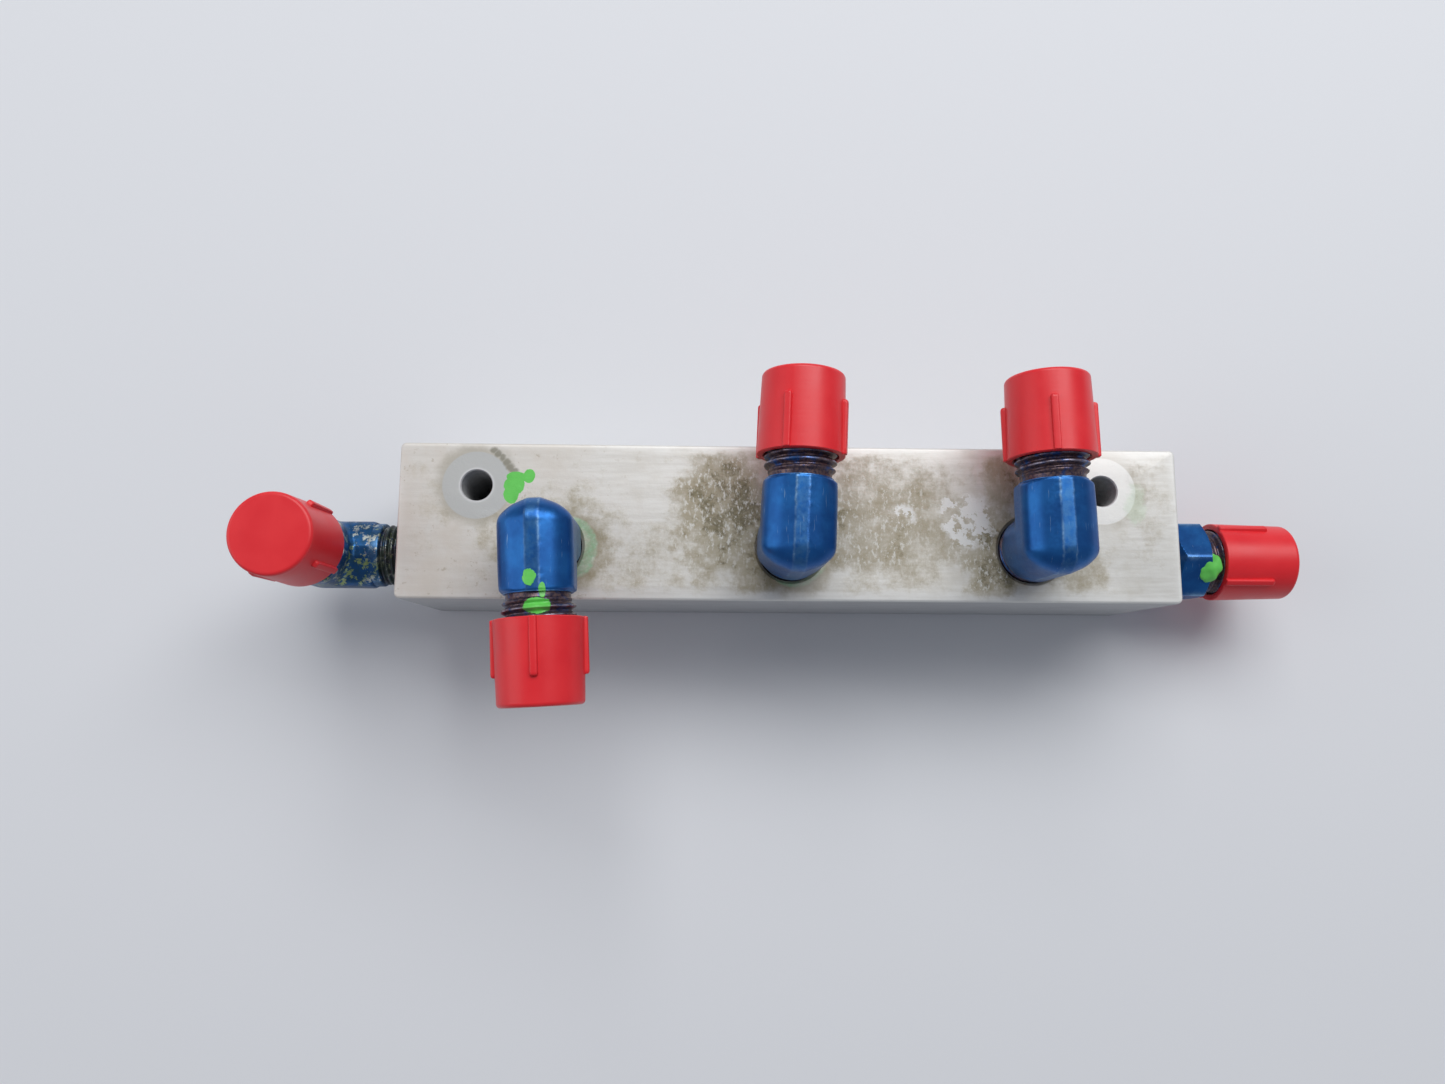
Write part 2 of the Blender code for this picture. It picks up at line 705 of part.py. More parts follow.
def make_check_seat(material):
    """The check valve's seat, a ring with a conical mouth towards the poppet."""
    cone_start = SEAT_END_X + SEAT_MOUTH_RADIUS - SEAT_BORE_RADIUS
    outline = [(SEAT_BORE_RADIUS, SEAT_START_X), (SLEEVE_RADIUS, SEAT_START_X)]
    outline += seal_groove(SEAT_SEAL_X, SLEEVE_RADIUS)
    outline += [
        (SLEEVE_RADIUS, SEAT_END_X),
        (SEAT_MOUTH_RADIUS, SEAT_END_X),
        (SEAT_BORE_RADIUS, cone_start),
    ]
    finish(turned("check_seat", outline, parts, on_bore_axis(), INNER_SIDES), material)


def make_poppet(material):
    """The check poppet: a 45 degree cone on a guide stem."""
    cone_end = POPPET_NOSE_X - (POPPET_RADIUS - POPPET_NOSE_RADIUS)
    outline = [
        (0, POPPET_NOSE_X),
        (POPPET_NOSE_RADIUS, POPPET_NOSE_X),
        (POPPET_RADIUS, cone_end),
        (POPPET_RADIUS, POPPET_BACK_X),
        (STEM_RADIUS, POPPET_BACK_X),
        (STEM_RADIUS, STEM_END_X),
        (0, STEM_END_X),
    ]
    finish(turned("check_poppet", outline, parts, on_bore_axis(), INNER_SIDES), material)


def make_guide(material):
    """The poppet's guide: a disc with a hole for the stem and holes for the flow."""
    outline = [
        (GUIDE_BORE_RADIUS, GUIDE_START_X),
        (SLEEVE_RADIUS, GUIDE_START_X),
        (SLEEVE_RADIUS, GUIDE_END_X),
        (GUIDE_BORE_RADIUS, GUIDE_END_X),
    ]
    guide = turned("check_guide", outline, parts, on_bore_axis(), INNER_SIDES)
    reach = (GUIDE_HOLE_RADIUS, GUIDE_END_X - OVERRUN, GUIDE_START_X + OVERRUN)
    for number in range(GUIDE_HOLE_COUNT):
        angle = math.pi / 4 + 2 * math.pi * number / GUIDE_HOLE_COUNT
        aside = Matrix.Rotation(angle, 4, "Z") @ Matrix.Translation((GUIDE_HOLE_PITCH_RADIUS, 0, 0))
        there = on_bore_axis() @ aside
        combine(guide, rod(f"guide_hole_{number}", *reach, cutters, there, SMALL_SIDES))
    finish(guide, material)


def make_screen(material):
    """The inlet screen: a flanged thimble with rows of holes."""
    flange_start = SCREEN_FLANGE_X - SCREEN_FLANGE
    outline = [
        (0, SCREEN_TIP_X + SCREEN_WALL),
        (SCREEN_RADIUS - SCREEN_WALL, SCREEN_TIP_X + SCREEN_WALL),
        (SCREEN_RADIUS - SCREEN_WALL, SCREEN_FLANGE_X),
        (SCREEN_FLANGE_RADIUS, SCREEN_FLANGE_X),
        (SCREEN_FLANGE_RADIUS, flange_start),
        (SCREEN_RADIUS, flange_start),
        (SCREEN_RADIUS, SCREEN_TIP_X),
        (0, SCREEN_TIP_X),
    ]
    screen = turned("inlet_screen", outline, parts, on_bore_axis(), INNER_SIDES)
    reach = (SCREEN_HOLE_RADIUS, -SCREEN_RADIUS - OVERRUN, SCREEN_RADIUS + OVERRUN)
    for row, x in enumerate(SCREEN_ROWS_X):
        for number in range(SCREEN_HOLE_COUNT // 2):
            angle = 2 * math.pi * (number + row / 2) / SCREEN_HOLE_COUNT
            there = on_bore_axis(x) @ Matrix.Rotation(angle, 4, "Z") @ ALONG_Y
            hole = rod(f"screen_hole_{row}_{number}", *reach, cutters, there, SEAL_SIDES)
            combine(screen, hole)
    finish(screen, material)


def make_inner_parts(steel, stainless, brass, rubber):
    make_jets(brass)
    make_screen(stainless)
    make_sleeve(steel)
    make_seal("regulator_seal", SLEEVE_SEAL_X, rubber)
    make_piston(steel)
    spring_floor = SLEEVE_START_X + SLEEVE_FLOOR + REST_GAP
    spring_head = PISTON_HEAD_X - PISTON_HEAD - REST_GAP
    regulator_spring = (REGULATOR_SPRING_RADIUS, spring_floor, spring_head)
    make_coil("regulator_spring", *regulator_spring, REGULATOR_SPRING_TURNS, stainless)
    stop_radii = (STOP_GROOVE_RADIUS - REST_GAP / 2, PISTON_INNER_RADIUS)
    make_ring("piston_stop_ring", STOP_RING_X, *stop_radii, STOP_RING_THICKNESS, stainless)
    bore_radii = (RING_OUTER_RADIUS, RING_INNER_RADIUS)
    for name, x in (("regulator", REGULATOR_RING_X), ("check", CHECK_RING_X)):
        make_ring(f"{name}_retaining_ring", x, *bore_radii, RING_THICKNESS, stainless)
    make_check_seat(brass)
    make_seal("check_seal", SEAT_SEAL_X, rubber)
    make_poppet(stainless)
    check_spring = (CHECK_SPRING_RADIUS, GUIDE_START_X + REST_GAP, POPPET_BACK_X - REST_GAP)
    make_coil("check_spring", *check_spring, CHECK_SPRING_TURNS, stainless)
    make_guide(brass)


# ---------------------------------------------------------------- assembly

clear_scene()
parts = make_collection("Flow control valve")
cutters = make_collection("Cutters")
cutters.hide_render = True
make_bar(make_material("bare aluminium", (0.70, 0.70, 0.69), 0.42, 1.0))
blue_anodised = make_material("blue anodised aluminium", (0.02, 0.12, 0.30), 0.35, 0.9)
make_elbows(blue_anodised)
make_nipple(blue_anodised)
make_caps(make_material("red polyethylene", (0.72, 0.03, 0.03), 0.42, 0.0))
make_inner_parts(
    steel=make_material("hardened steel", (0.45, 0.45, 0.46), 0.30, 1.0),
    stainless=make_material("stainless steel", (0.62, 0.62, 0.63), 0.28, 1.0),
    brass=make_material("brass", (0.72, 0.52, 0.20), 0.30, 1.0),
    rubber=make_material("nitrile rubber", (0.02, 0.02, 0.02), 0.60, 0.0),
)
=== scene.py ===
"""Looks of the flow control valve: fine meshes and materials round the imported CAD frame.

Metres, +Z up. The bar lies along X, and every fitting is built in its own frame and then placed
where the frame has it.
"""

import json
import math

import bmesh
import bpy
import numpy as np
from mathutils import Matrix, Vector, noise


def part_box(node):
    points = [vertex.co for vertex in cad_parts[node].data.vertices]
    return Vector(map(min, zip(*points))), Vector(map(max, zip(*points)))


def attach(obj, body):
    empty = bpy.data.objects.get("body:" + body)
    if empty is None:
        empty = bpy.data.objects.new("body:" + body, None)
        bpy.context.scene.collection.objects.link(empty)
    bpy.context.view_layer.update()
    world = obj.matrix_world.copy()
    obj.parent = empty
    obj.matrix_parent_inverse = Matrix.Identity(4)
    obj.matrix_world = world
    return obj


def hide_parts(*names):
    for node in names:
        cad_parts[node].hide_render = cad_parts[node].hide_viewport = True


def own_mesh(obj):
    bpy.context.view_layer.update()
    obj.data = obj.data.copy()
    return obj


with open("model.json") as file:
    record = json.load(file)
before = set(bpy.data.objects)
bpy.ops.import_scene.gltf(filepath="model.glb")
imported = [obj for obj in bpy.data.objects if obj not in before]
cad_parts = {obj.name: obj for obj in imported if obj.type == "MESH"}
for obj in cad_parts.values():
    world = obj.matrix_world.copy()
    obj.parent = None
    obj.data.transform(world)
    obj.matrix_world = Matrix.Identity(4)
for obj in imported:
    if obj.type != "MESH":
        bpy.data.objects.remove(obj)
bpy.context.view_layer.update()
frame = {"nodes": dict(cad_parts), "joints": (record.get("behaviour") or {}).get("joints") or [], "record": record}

MM = 0.001
COLUMNS = 144
COLUMNS_FINE = 288
SMOOTH_ANGLE = math.radians(32)
MERGE_DISTANCE = 1e-7

# The frame's driving places.
BAR_LOW, BAR_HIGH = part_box("valve_block")
NIPPLE_LOW, NIPPLE_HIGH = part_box("nipple_right_end")
BORE_Y = (NIPPLE_LOW.y + NIPPLE_HIGH.y) / 2
BORE_Z = (NIPPLE_LOW.z + NIPPLE_HIGH.z) / 2
BOLT_HOLE = Vector((51.0, 5.7)) * MM
BOLT_HOLE_RADIUS = 2.5 * MM
WASHER_RADIUS = 5.55 * MM
BAR_CORNER = 0.9 * MM
BAR_EDGE = 0.5 * MM
BAR_SMOOTH_ANGLE = math.radians(20)
JOINTS = {joint["name"]: joint for joint in frame["joints"]}

# The bar's bores. Each tapped port narrows from its mouth to its bottom, and the web stands
# between the two halves of the main bore.
PORT_MOUTH_RADIUS = 5.38 * MM
PORT_BOTTOM_RADIUS = 5.05 * MM
PORT_CHAMFER = 0.5 * MM
PORT_DRILL_RADIUS = 2.5 * MM
TOP_PORT_DEPTH = 9.2 * MM
END_PORT_DEPTH = 7.2 * MM
MAIN_BORE_RADIUS = 4 * MM
WEB_BORE_RADIUS = 2.75 * MM
WEB_HALF_LENGTH = 6 * MM
BOLT_HOLE_BREAK = 0.15 * MM
BOLT_HOLE_BREAK_DEPTH = 0.25 * MM
CUT_PAST = 1 * MM
CUTTER_COLUMNS = 96

# Flared-tube ends and pipe threads, which every fitting shares.
FLARE_BORE_RADIUS = 2.2 * MM
FLARE_NOSE_RADIUS = 2.9 * MM
FLARE_BASE_RADIUS = 4.75 * MM
FLARE_LENGTH = (FLARE_BASE_RADIUS - FLARE_NOSE_RADIUS) / math.tan(math.radians(37))
THREAD_CREST = 5.55 * MM
THREAD_ROOT = 4.82 * MM
THREAD_PITCH = 1.27 * MM
NECK_RADIUS = 4.8 * MM
NECK_LENGTH = 0.7 * MM
PIPE_CREST = 5.25 * MM
PIPE_PITCH = 0.94 * MM
PIPE_DEPTH = 0.55 * MM
PIPE_TAPER = 1 / 32
PIPE_BORE_RADIUS = 2.4 * MM
ROWS_PER_PITCH = 14
THREAD_ROOT_SHARE = 0.12
THREAD_FLANK_SHARE = 0.74
THREAD_FADE = 0.75
FLARE_ROUNDING = 0.2 * MM

# The forged elbow, measured from the corner where its two axes cross.
FLARE_SHOULDER = 8.8 * MM
FLARE_NOSE = 24.0 * MM
BEND_START = 1.5 * MM
BEND_RADIUS_LEAST = 0.8 * MM
FLAT_HALF_WIDTH = 5.65 * MM
FLAT_HALF_HEIGHT = 2.6 * MM
LAND_HALF_WIDTH = 0.95 * MM
LAND_HEIGHT = 5.4 * MM
SLOPE_MIDDLE = (3.5 * MM, 4.4 * MM)
FLAT_ROUNDING = 3.0 * MM
SLOPE_ROUNDING = 6.0 * MM
LAND_ROUNDING = 0.6 * MM
TURNED_RADIUS = 5.35 * MM
TURNED_LENGTH = 0.15 * MM
TURNED_RUNOUT = 1.3
SHOULDER_NARROWING = 0.035
COLLAR_RADIUS = 5.45 * MM
COLLAR_START = 8.3 * MM
COLLAR_END = 9.8 * MM
COLLAR_ROUNDING = 0.3 * MM
PIPE_TIP = 19.8 * MM

# How the forging is meshed and worn: its rows are crowded towards the shoulder and the collar.
SECTION_COLUMNS = 144
FLARE_LEG_ROWS = 44
BEND_ROWS = 30
PIPE_LEG_ROWS = 30
ROW_CROWDING = 1.4
NARROWING_REACH = 1.6 * MM
COLLAR_RUNOUT_LENGTH = 7 * MM
LAND_WANDER = 0.14 * MM
LAND_WANDER_REACH = 0.5 * MM
LAND_FADE = 0.25 * MM
LAND_EDGE_REACH = 0.14 * MM
FAR_LAND_EDGE_WEAR = 0.45
SHOULDER_WEAR = 0.7
COLLAR_WEAR = 0.5

# The hex nipple, by lengths from its pipe tip.
NIPPLE_HEX_START = 9.8 * MM
NIPPLE_HEX_END = 15.5 * MM
HEX_HALF_FLATS = 6.35 * MM
HEX_FACE_RADIUS = 6.0 * MM
HEX_ROUNDING = 0.3 * MM
HEX_CORNER_CUT = 0.12 * MM
HEX_CORNER_SOFTNESS = 0.2 * MM
HEX_EDGE_REACH = 0.25 * MM

# A drop of marking paint on the nipple: its place round the hex and along it, and its reach
# outwards, round the hex and along it.
BLOB_ANGLE = math.radians(15)
BLOB_RADIUS = 5.6 * MM
BLOB_HEIGHT = 14.9 * MM
BLOB_REACH = (1.5 * MM, 2.5 * MM, 2.1 * MM)
BLOB_LUMPS = 0.22
BLOB_LUMP_RATE = 1.7

# Dust caps, measured along the flare axis from the elbow's corner.
CAP_RIM = 12.4 * MM
CAP_CLOSED = 25.2 * MM
CAP_WALL = 0.9 * MM
CAP_RIM_RADIUS = 6.75 * MM
CAP_CLOSED_RADIUS = 6.4 * MM
CAP_BORE_RADIUS = 5.65 * MM
CAP_EDGE = 0.7 * MM
CAP_INNER_ROUNDING = 0.3 * MM
CAP_RIM_STEPS = ((0, 0.15 * MM), (0.108 * MM, 0.04 * MM), (0.24 * MM, 0))
RIB_COUNT = 4
RIB_SPACING = 2 * math.pi / RIB_COUNT
RIB_END = 20.9 * MM
RIB_HALF_WIDTH = 0.55 * MM
RIB_TIP_RADIUS = 7.2 * MM
RIB_ROUND = 0.7 * MM
CAP_TURN = {
    "top_left": -1,
    "top_middle": -24,
    "top_right": -12,
    "left_end": 53,
    "right_end": 37,
}

SPRING_WIRE = 0.36 * MM
SPRING_CLOSED_RISE = 1.2 * SPRING_WIRE
# Each spring's joint, its turns, and the share of its length that it keeps when pressed.
SPRINGS = {
    "regulator_spring": ("piston_travel", 8, 0.745),
    "check_spring": ("poppet_lift", 5, 0.643),
}

# Marks seen from above, in millimetres: x, y and the reach along each. A stain
# also has its strength, and sealant has one radius.
STAINS = (
    (-37.5, -4.0, 11.0, 9.0, 0.62),
    (-24.0, -6.0, 12.0, 6.0, 0.36),
    (-10.5, 1.5, 8.0, 12.0, 0.98),
    (-5.0, -6.0, 7.0, 6.0, 0.85),
    (16.0, 0.0, 22.0, 11.0, 0.62),
    (33.0, -5.0, 6.0, 9.0, 0.98),
    (34.5, 7.5, 3.6, 6.0, 0.80),
    (45.0, -6.5, 7.0, 5.5, 0.55),
    (58.0, 3.0, 5.0, 9.0, 0.30),
    (-57.0, 2.0, 6.0, 8.0, 0.22),
)
FLAKED = (
    (-11.5, 4.0, 8.5, 10.0),
    (12.0, 1.0, 10.0, 9.0),
    (-24.0, -6.0, 8.0, 5.0),
    (29.0, -7.0, 6.0, 4.5),
)
BARE = ((28.6, 0.6, 4.6, 4.4), (17.8, 1.4, 2.4, 1.6))
SMEARS = (
    (-48.4, 11.5, 0.6, 0.5),
    (-47.7, 10.9, 0.6, 0.6),
    (-47.0, 10.3, 0.5, 0.6),
    (-46.3, 9.5, 0.6, 0.6),
    (-45.7, 8.7, 0.7, 0.6),
    (-45.1, 8.2, 0.8, 0.4),
)
SEALANT = ((-36.6, -4.4, 5.3), (0.6, -5.4, 5.0))
BAR_PAINT = (
    (-45.4, 4.2, 1.2, 1.5),
    (-44.9, 5.8, 1.7, 1.6),
    (-44.6, 7.0, 1.7, 1.0),
    (-42.6, 7.2, 1.0, 1.2),
)
RESIDUE = (56.5, 3.4, 1.6, 3.0)
ELBOW_PAINT = ((-39.3, -10.9, 0.95, 1.2), (-37.4, -12.8, 0.5, 1.1), (-38.1, -14.9, 2.0, 1.2))
WASHER_GREY = (0.50, 0.51, 0.50, 1.0)
WASHER_WHITE = (0.80, 0.80, 0.77, 1.0)

# The camera and the stage.
CAMERA_PLACE = (-0.0152, -0.0259, 0.1876)
CAMERA_DEGREES = (8.07, -1.47, 0.30)
CAMERA_LENS = 24.91
CAMERA_SENSOR = 36
CAMERA_NEAR = 0.005
FLOOR_REACH = 4.0
SKY_STRENGTH = 0.26
LIGHT_TARGET = (0, 0, 0.02)

ALONG_X = Matrix.Rotation(math.pi / 2, 4, "Y")
ALONG_Y = Matrix.Rotation(-math.pi / 2, 4, "X")


# ---------------------------------------------------------------- shader nodes


class Shader:
    """A material's node tree, with short calls that each add a node and return its output."""

    def __init__(self, name):
        self.material = bpy.data.materials.new(name)
        self.material.use_nodes = True
        self.tree = self.material.node_tree
        self.principled = self.tree.nodes["Principled BSDF"]
        self.place = self.add("TexCoord", "Object")

    def add(self, kind, output=0, inputs=None, **settings):
        made = self.tree.nodes.new("ShaderNode" + kind)
        for key, value in settings.items():
            setattr(made, key, value)
        for key, value in (inputs or {}).items():
            self.set(made.inputs[key], value)
        return made.outputs[output]

    def set(self, socket, value):
        if isinstance(value, bpy.types.NodeSocket):
            self.tree.links.new(value, socket)
        else:
            socket.default_value = value

    def math(self, operation, *values):
        inputs = dict(enumerate(values))
        return self.add("Math", inputs=inputs, operation=operation)

    def stretched(self, scale, shift=(0, 0, 0)):
        inputs = {"Vector": self.place, "Scale": scale, "Location": shift}
        return self.add("Mapping", inputs=inputs)

    def noise(self, size, detail=4.0, roughness=0.55, vector=None):
        """Noise from 0 to 1 whose largest features are about size metres."""
        inputs = {
            "Vector": vector or self.place,
            "Scale": 1 / size,
            "Detail": detail,
            "Roughness": roughness,
        }
        return self.add("TexNoise", inputs=inputs)

    def band(self, value, low, high, start=0.0, end=1.0):
        """A smooth step of a value between low and high."""
        inputs = {
            "Value": value,
            "From Min": low,
            "From Max": high,
            "To Min": start,
            "To Max": end,
        }
        return self.add("MapRange", inputs=inputs, interpolation_type="SMOOTHSTEP")

    def mix(self, share, first, second):
        inputs = {0: share, 6: first, 7: second}
        return self.add("Mix", 2, inputs, data_type="RGBA")

    def attribute(self, name):
        return self.add("Attribute", "Fac", attribute_name=name)

    def axis(self, name):
        return self.add("SeparateXYZ", name, {0: self.place})

    def distance(self, x, y):
        """The distance from an upright line, in metres."""
        inputs = {0: self.stretched((1, 1, 0), (-x, -y, 0))}
        return self.add("VectorMath", "Value", inputs, operation="LENGTH")

    def both(self, first, second):
        """One share of another."""
        return self.math("MULTIPLY", first, second)

    def either(self, *shares):
        """The largest of the shares."""
        share = shares[0]
        for other in shares[1:]:
            share = self.math("MAXIMUM", share, other)
        return share

    def spot(self, centre, reach, ragged, soft=0.3, wander=0.8):
        """1 inside an upright ellipse, in millimetres, and 0 outside, with a ragged edge."""
        scale = (1 / (reach[0] * MM), 1 / (reach[1] * MM), 0)
        shift = (-centre[0] / reach[0], -centre[1] / reach[1], 0)
        inputs = {0: self.stretched(scale, shift)}
        far = self.add("VectorMath", "Value", inputs, operation="LENGTH")
        rough = self.math("MULTIPLY_ADD", self.math("SUBTRACT", ragged, 0.5), wander, far)
        return self.band(rough, 1 + soft / 2, 1 - soft / 2)

    def bump(self, height, distance, normal=None):
        inputs = {"Height": height, "Distance": distance}
        if normal is not None:
            inputs["Normal"] = normal
        return self.add("Bump", inputs=inputs)

    def finish(self, **inputs):
        for name, value in inputs.items():
            self.set(self.principled.inputs[name.replace("_", " ")], value)
        return self.material


def colour(red, green, blue):
    return (red, green, blue, 1.0)


# ---------------------------------------------------------------- mesh tools


def circle_angles(count=COLUMNS):
    return np.arange(count) * 2 * math.pi / count


def turned_rows(outline, angles):
    """Rows of points round Z for an outline of (radius, height)."""
    outline = np.array(outline, float)
    radius, height = outline[:, :1], outline[:, 1:]
    flat = np.ones_like(angles)
    return np.stack([radius * np.cos(angles), radius * np.sin(angles), height * flat], axis=2)


def filleted(outline, radius, steps=5):
    """An open outline of (x, y) points with its corners rounded to a radius, or less where its
    sides are short. The radius is one number, or one for each inner corner."""
    points = [Vector(point) for point in outline]
    radii = np.broadcast_to(radius, len(points) - 2)
    rounded = [points[0]]
    for before, corner, after, wanted in zip(points, points[1:], points[2:], radii):
        into, out = (corner - before).normalized(), (after - corner).normalized()
        turn = into.angle(out, 0)
        reach = wanted * math.tan(turn / 2)
        reach = min(reach, (corner - before).length * 0.48, (after - corner).length * 0.48)
        if turn < 0.05:
            rounded.append(corner)
            continue
        start, end = corner - into * reach, corner + out * reach
        for step in range(steps + 1):
            share = step / steps
            first, second = start.lerp(corner, share), corner.lerp(end, share)
            rounded.append(first.lerp(second, share))
    return [tuple(point) for point in [*rounded, points[-1]]]


class Shell:
    """Collects grids of points, each closed round its columns, into one mesh."""

    def __init__(self):
        self.points, self.faces, self.values, self.count = [], [], {}, 0

    def grid(self, rows, matrix=Matrix(), **values):
        """Adds one grid, in the shell's own frame after the matrix, with its named values."""
        height, width = rows.shape[:2]
        flat = rows.reshape(-1, 3)
        turn = np.array(matrix.to_3x3())
        self.points.append(flat @ turn.T + np.array(matrix.translation))
        row, column = np.meshgrid(np.arange(height - 1), np.arange(width), indexing="ij")
        right = (column + 1) % width
        corners = (
            row * width + column,
            row * width + right,
            (row + 1) * width + right,
            (row + 1) * width + column,
        )
        quads = np.stack([corner.ravel() for corner in corners], axis=1) + self.count
        self.faces.append(quads)
        for name, value in values.items():
            spread = np.broadcast_to(value, (height, width)).ravel()
            self.values.setdefault(name, []).append((self.count, spread))
        self.count += len(flat)

    def make(self, name, matrix=Matrix()):
        """The mesh of all grids, placed by the matrix. It keeps its own frame's coordinates in an
        attribute named own."""
        own = np.concatenate(self.points)
        placed = own @ np.array(matrix.to_3x3()).T + np.array(matrix.translation)
        mesh = bpy.data.meshes.new(name)
        mesh.from_pydata(placed.tolist(), [], np.concatenate(self.faces).tolist())
        kept = mesh.attributes.new("own", "FLOAT_VECTOR", "POINT")
        kept.data.foreach_set("vector", own.astype(np.float32).ravel())
        for key, spans in self.values.items():
            whole = np.zeros(self.count, np.float32)
            for start, spread in spans:
                whole[start : start + len(spread)] = spread
            mesh.attributes.new(key, "FLOAT", "POINT").data.foreach_set("value", whole)
        return tidied(mesh)


def tidied(mesh):
    """Welds a mesh's doubled points, faces it outwards and shades it."""
    shape = bmesh.new()
    shape.from_mesh(mesh)
    bmesh.ops.remove_doubles(shape, verts=shape.verts, dist=MERGE_DISTANCE)
    bmesh.ops.dissolve_degenerate(shape, dist=MERGE_DISTANCE, edges=shape.edges)
    bmesh.ops.recalc_face_normals(shape, faces=shape.faces)
    shape.to_mesh(mesh)
    shape.free()
    mesh.shade_smooth()
    mesh.set_sharp_from_angle(angle=SMOOTH_ANGLE)
    return mesh


def add_piece(name, mesh, material, body, node):
    """Makes a mesh a piece that rides on a body and stands for a CAD node."""
    piece = bpy.data.objects.new(name, mesh)
    bpy.context.scene.collection.objects.link(piece)
    mesh.materials.append(material)
    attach(piece, body)
    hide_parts(node)
    return piece


def thread_grid(start, end, crest, depth, pitch, taper=0.0):
    """Rows of a right-handed thread from one height to another, and how near each point is to
    the crest. The crest narrows by taper for each unit of height, downwards."""
    rows = int(abs(end - start) / pitch * ROWS_PER_PITCH)
    height = np.linspace(start, end, rows)[:, None]
    angles = circle_angles()[None, :]
    phase = (height / pitch - angles / (2 * math.pi)) % 1.0
    rise = np.clip((np.abs(phase - 0.5) * 2 - THREAD_ROOT_SHARE) / THREAD_FLANK_SHARE, 0, 1)
    rise = rise * rise * (3 - 2 * rise) * 0.5 + rise * 0.5
    ends = np.minimum(np.abs(height - start), np.abs(height - end)) / (THREAD_FADE * pitch)
    rise = rise * np.clip(ends, 0, 1)
    radius = crest - taper * np.abs(height - start) - depth * (1 - rise)
    flat = np.ones_like(angles)
    points = [radius * np.cos(angles), radius * np.sin(angles), height * flat]
    return np.stack(points, axis=2), rise


# ---------------------------------------------------------------- fittings


def add_flare_end(shell, shoulder, nose, floor, matrix):
    """A flared-tube end along Z: neck, straight thread, cone, nose and bore."""
    angles = circle_angles()
    start, cone_base = shoulder + NECK_LENGTH, nose - FLARE_LENGTH
    neck = [(NECK_RADIUS, shoulder - 0.4 * MM), (THREAD_ROOT, start)]
    shell.grid(turned_rows(neck, angles), matrix, thread=1.0, crest=0.0)
    rows, rise = thread_grid(start, cone_base, THREAD_CREST, THREAD_CREST - THREAD_ROOT, THREAD_PITCH)
    shell.grid(rows, matrix, thread=1.0, crest=rise)
    end = [
        (THREAD_ROOT, cone_base),
        (FLARE_NOSE_RADIUS, nose),
        (FLARE_BORE_RADIUS, nose),
        (FLARE_BORE_RADIUS, floor),
    ]
    shell.grid(turned_rows(filleted(end, FLARE_ROUNDING), angles), matrix)


def add_pipe_end(shell, start, tip, floor, matrix):
    """A tapered pipe thread that runs down Z from its start to its tip, with its bore."""
    rows, rise = thread_grid(start, tip, PIPE_CREST, PIPE_DEPTH, PIPE_PITCH, PIPE_TAPER)
    shell.grid(rows, matrix, thread=1.0, crest=rise)
    end_radius = PIPE_CREST - PIPE_TAPER * abs(tip - start) - PIPE_DEPTH
    end = [(end_radius, tip), (PIPE_BORE_RADIUS, tip), (PIPE_BORE_RADIUS, floor)]
    shell.grid(turned_rows(end, circle_angles()), matrix)


def forged_section():
    """The forging's section as evenly spaced (x, outward) points, with its corners rounded."""
    quarter = [(FLAT_HALF_WIDTH, FLAT_HALF_HEIGHT), SLOPE_MIDDLE, (LAND_HALF_WIDTH, LAND_HEIGHT)]
    upper = quarter + [(-x, z) for x, z in quarter[::-1]]
    corners = upper + [(-x, -z) for x, z in upper]
    ring = [(FLAT_HALF_WIDTH, 0), *corners, (FLAT_HALF_WIDTH, 0)]
    one_side = [FLAT_ROUNDING, SLOPE_ROUNDING, LAND_ROUNDING]
    outline = np.array(filleted(ring, (one_side + one_side[::-1]) * 2, 10))
    steps = np.linalg.norm(np.diff(outline, axis=0), axis=1)
    along = np.concatenate([[0], np.cumsum(steps)])
    even = np.linspace(0, along[-1], SECTION_COLUMNS, endpoint=False)
    return np.stack([np.interp(even, along, outline[:, axis]) for axis in (0, 1)], axis=1)


def soft_min(first, second, softness):
    """The smaller of two values, blended over a softness where they are close."""
    share = np.clip(0.5 + 0.5 * (second - first) / softness, 0, 1)
    return second + (first - second) * share - softness * share * (1 - share)


def turned_down(section, limit):
    """The section, cut back to a radius where it stands out further."""
    radius = np.hypot(section[:, 0], section[:, 1])
    limited = soft_min(radius, np.full_like(radius, limit), 0.25 * MM)
    return section * (limited / radius)[:, None]


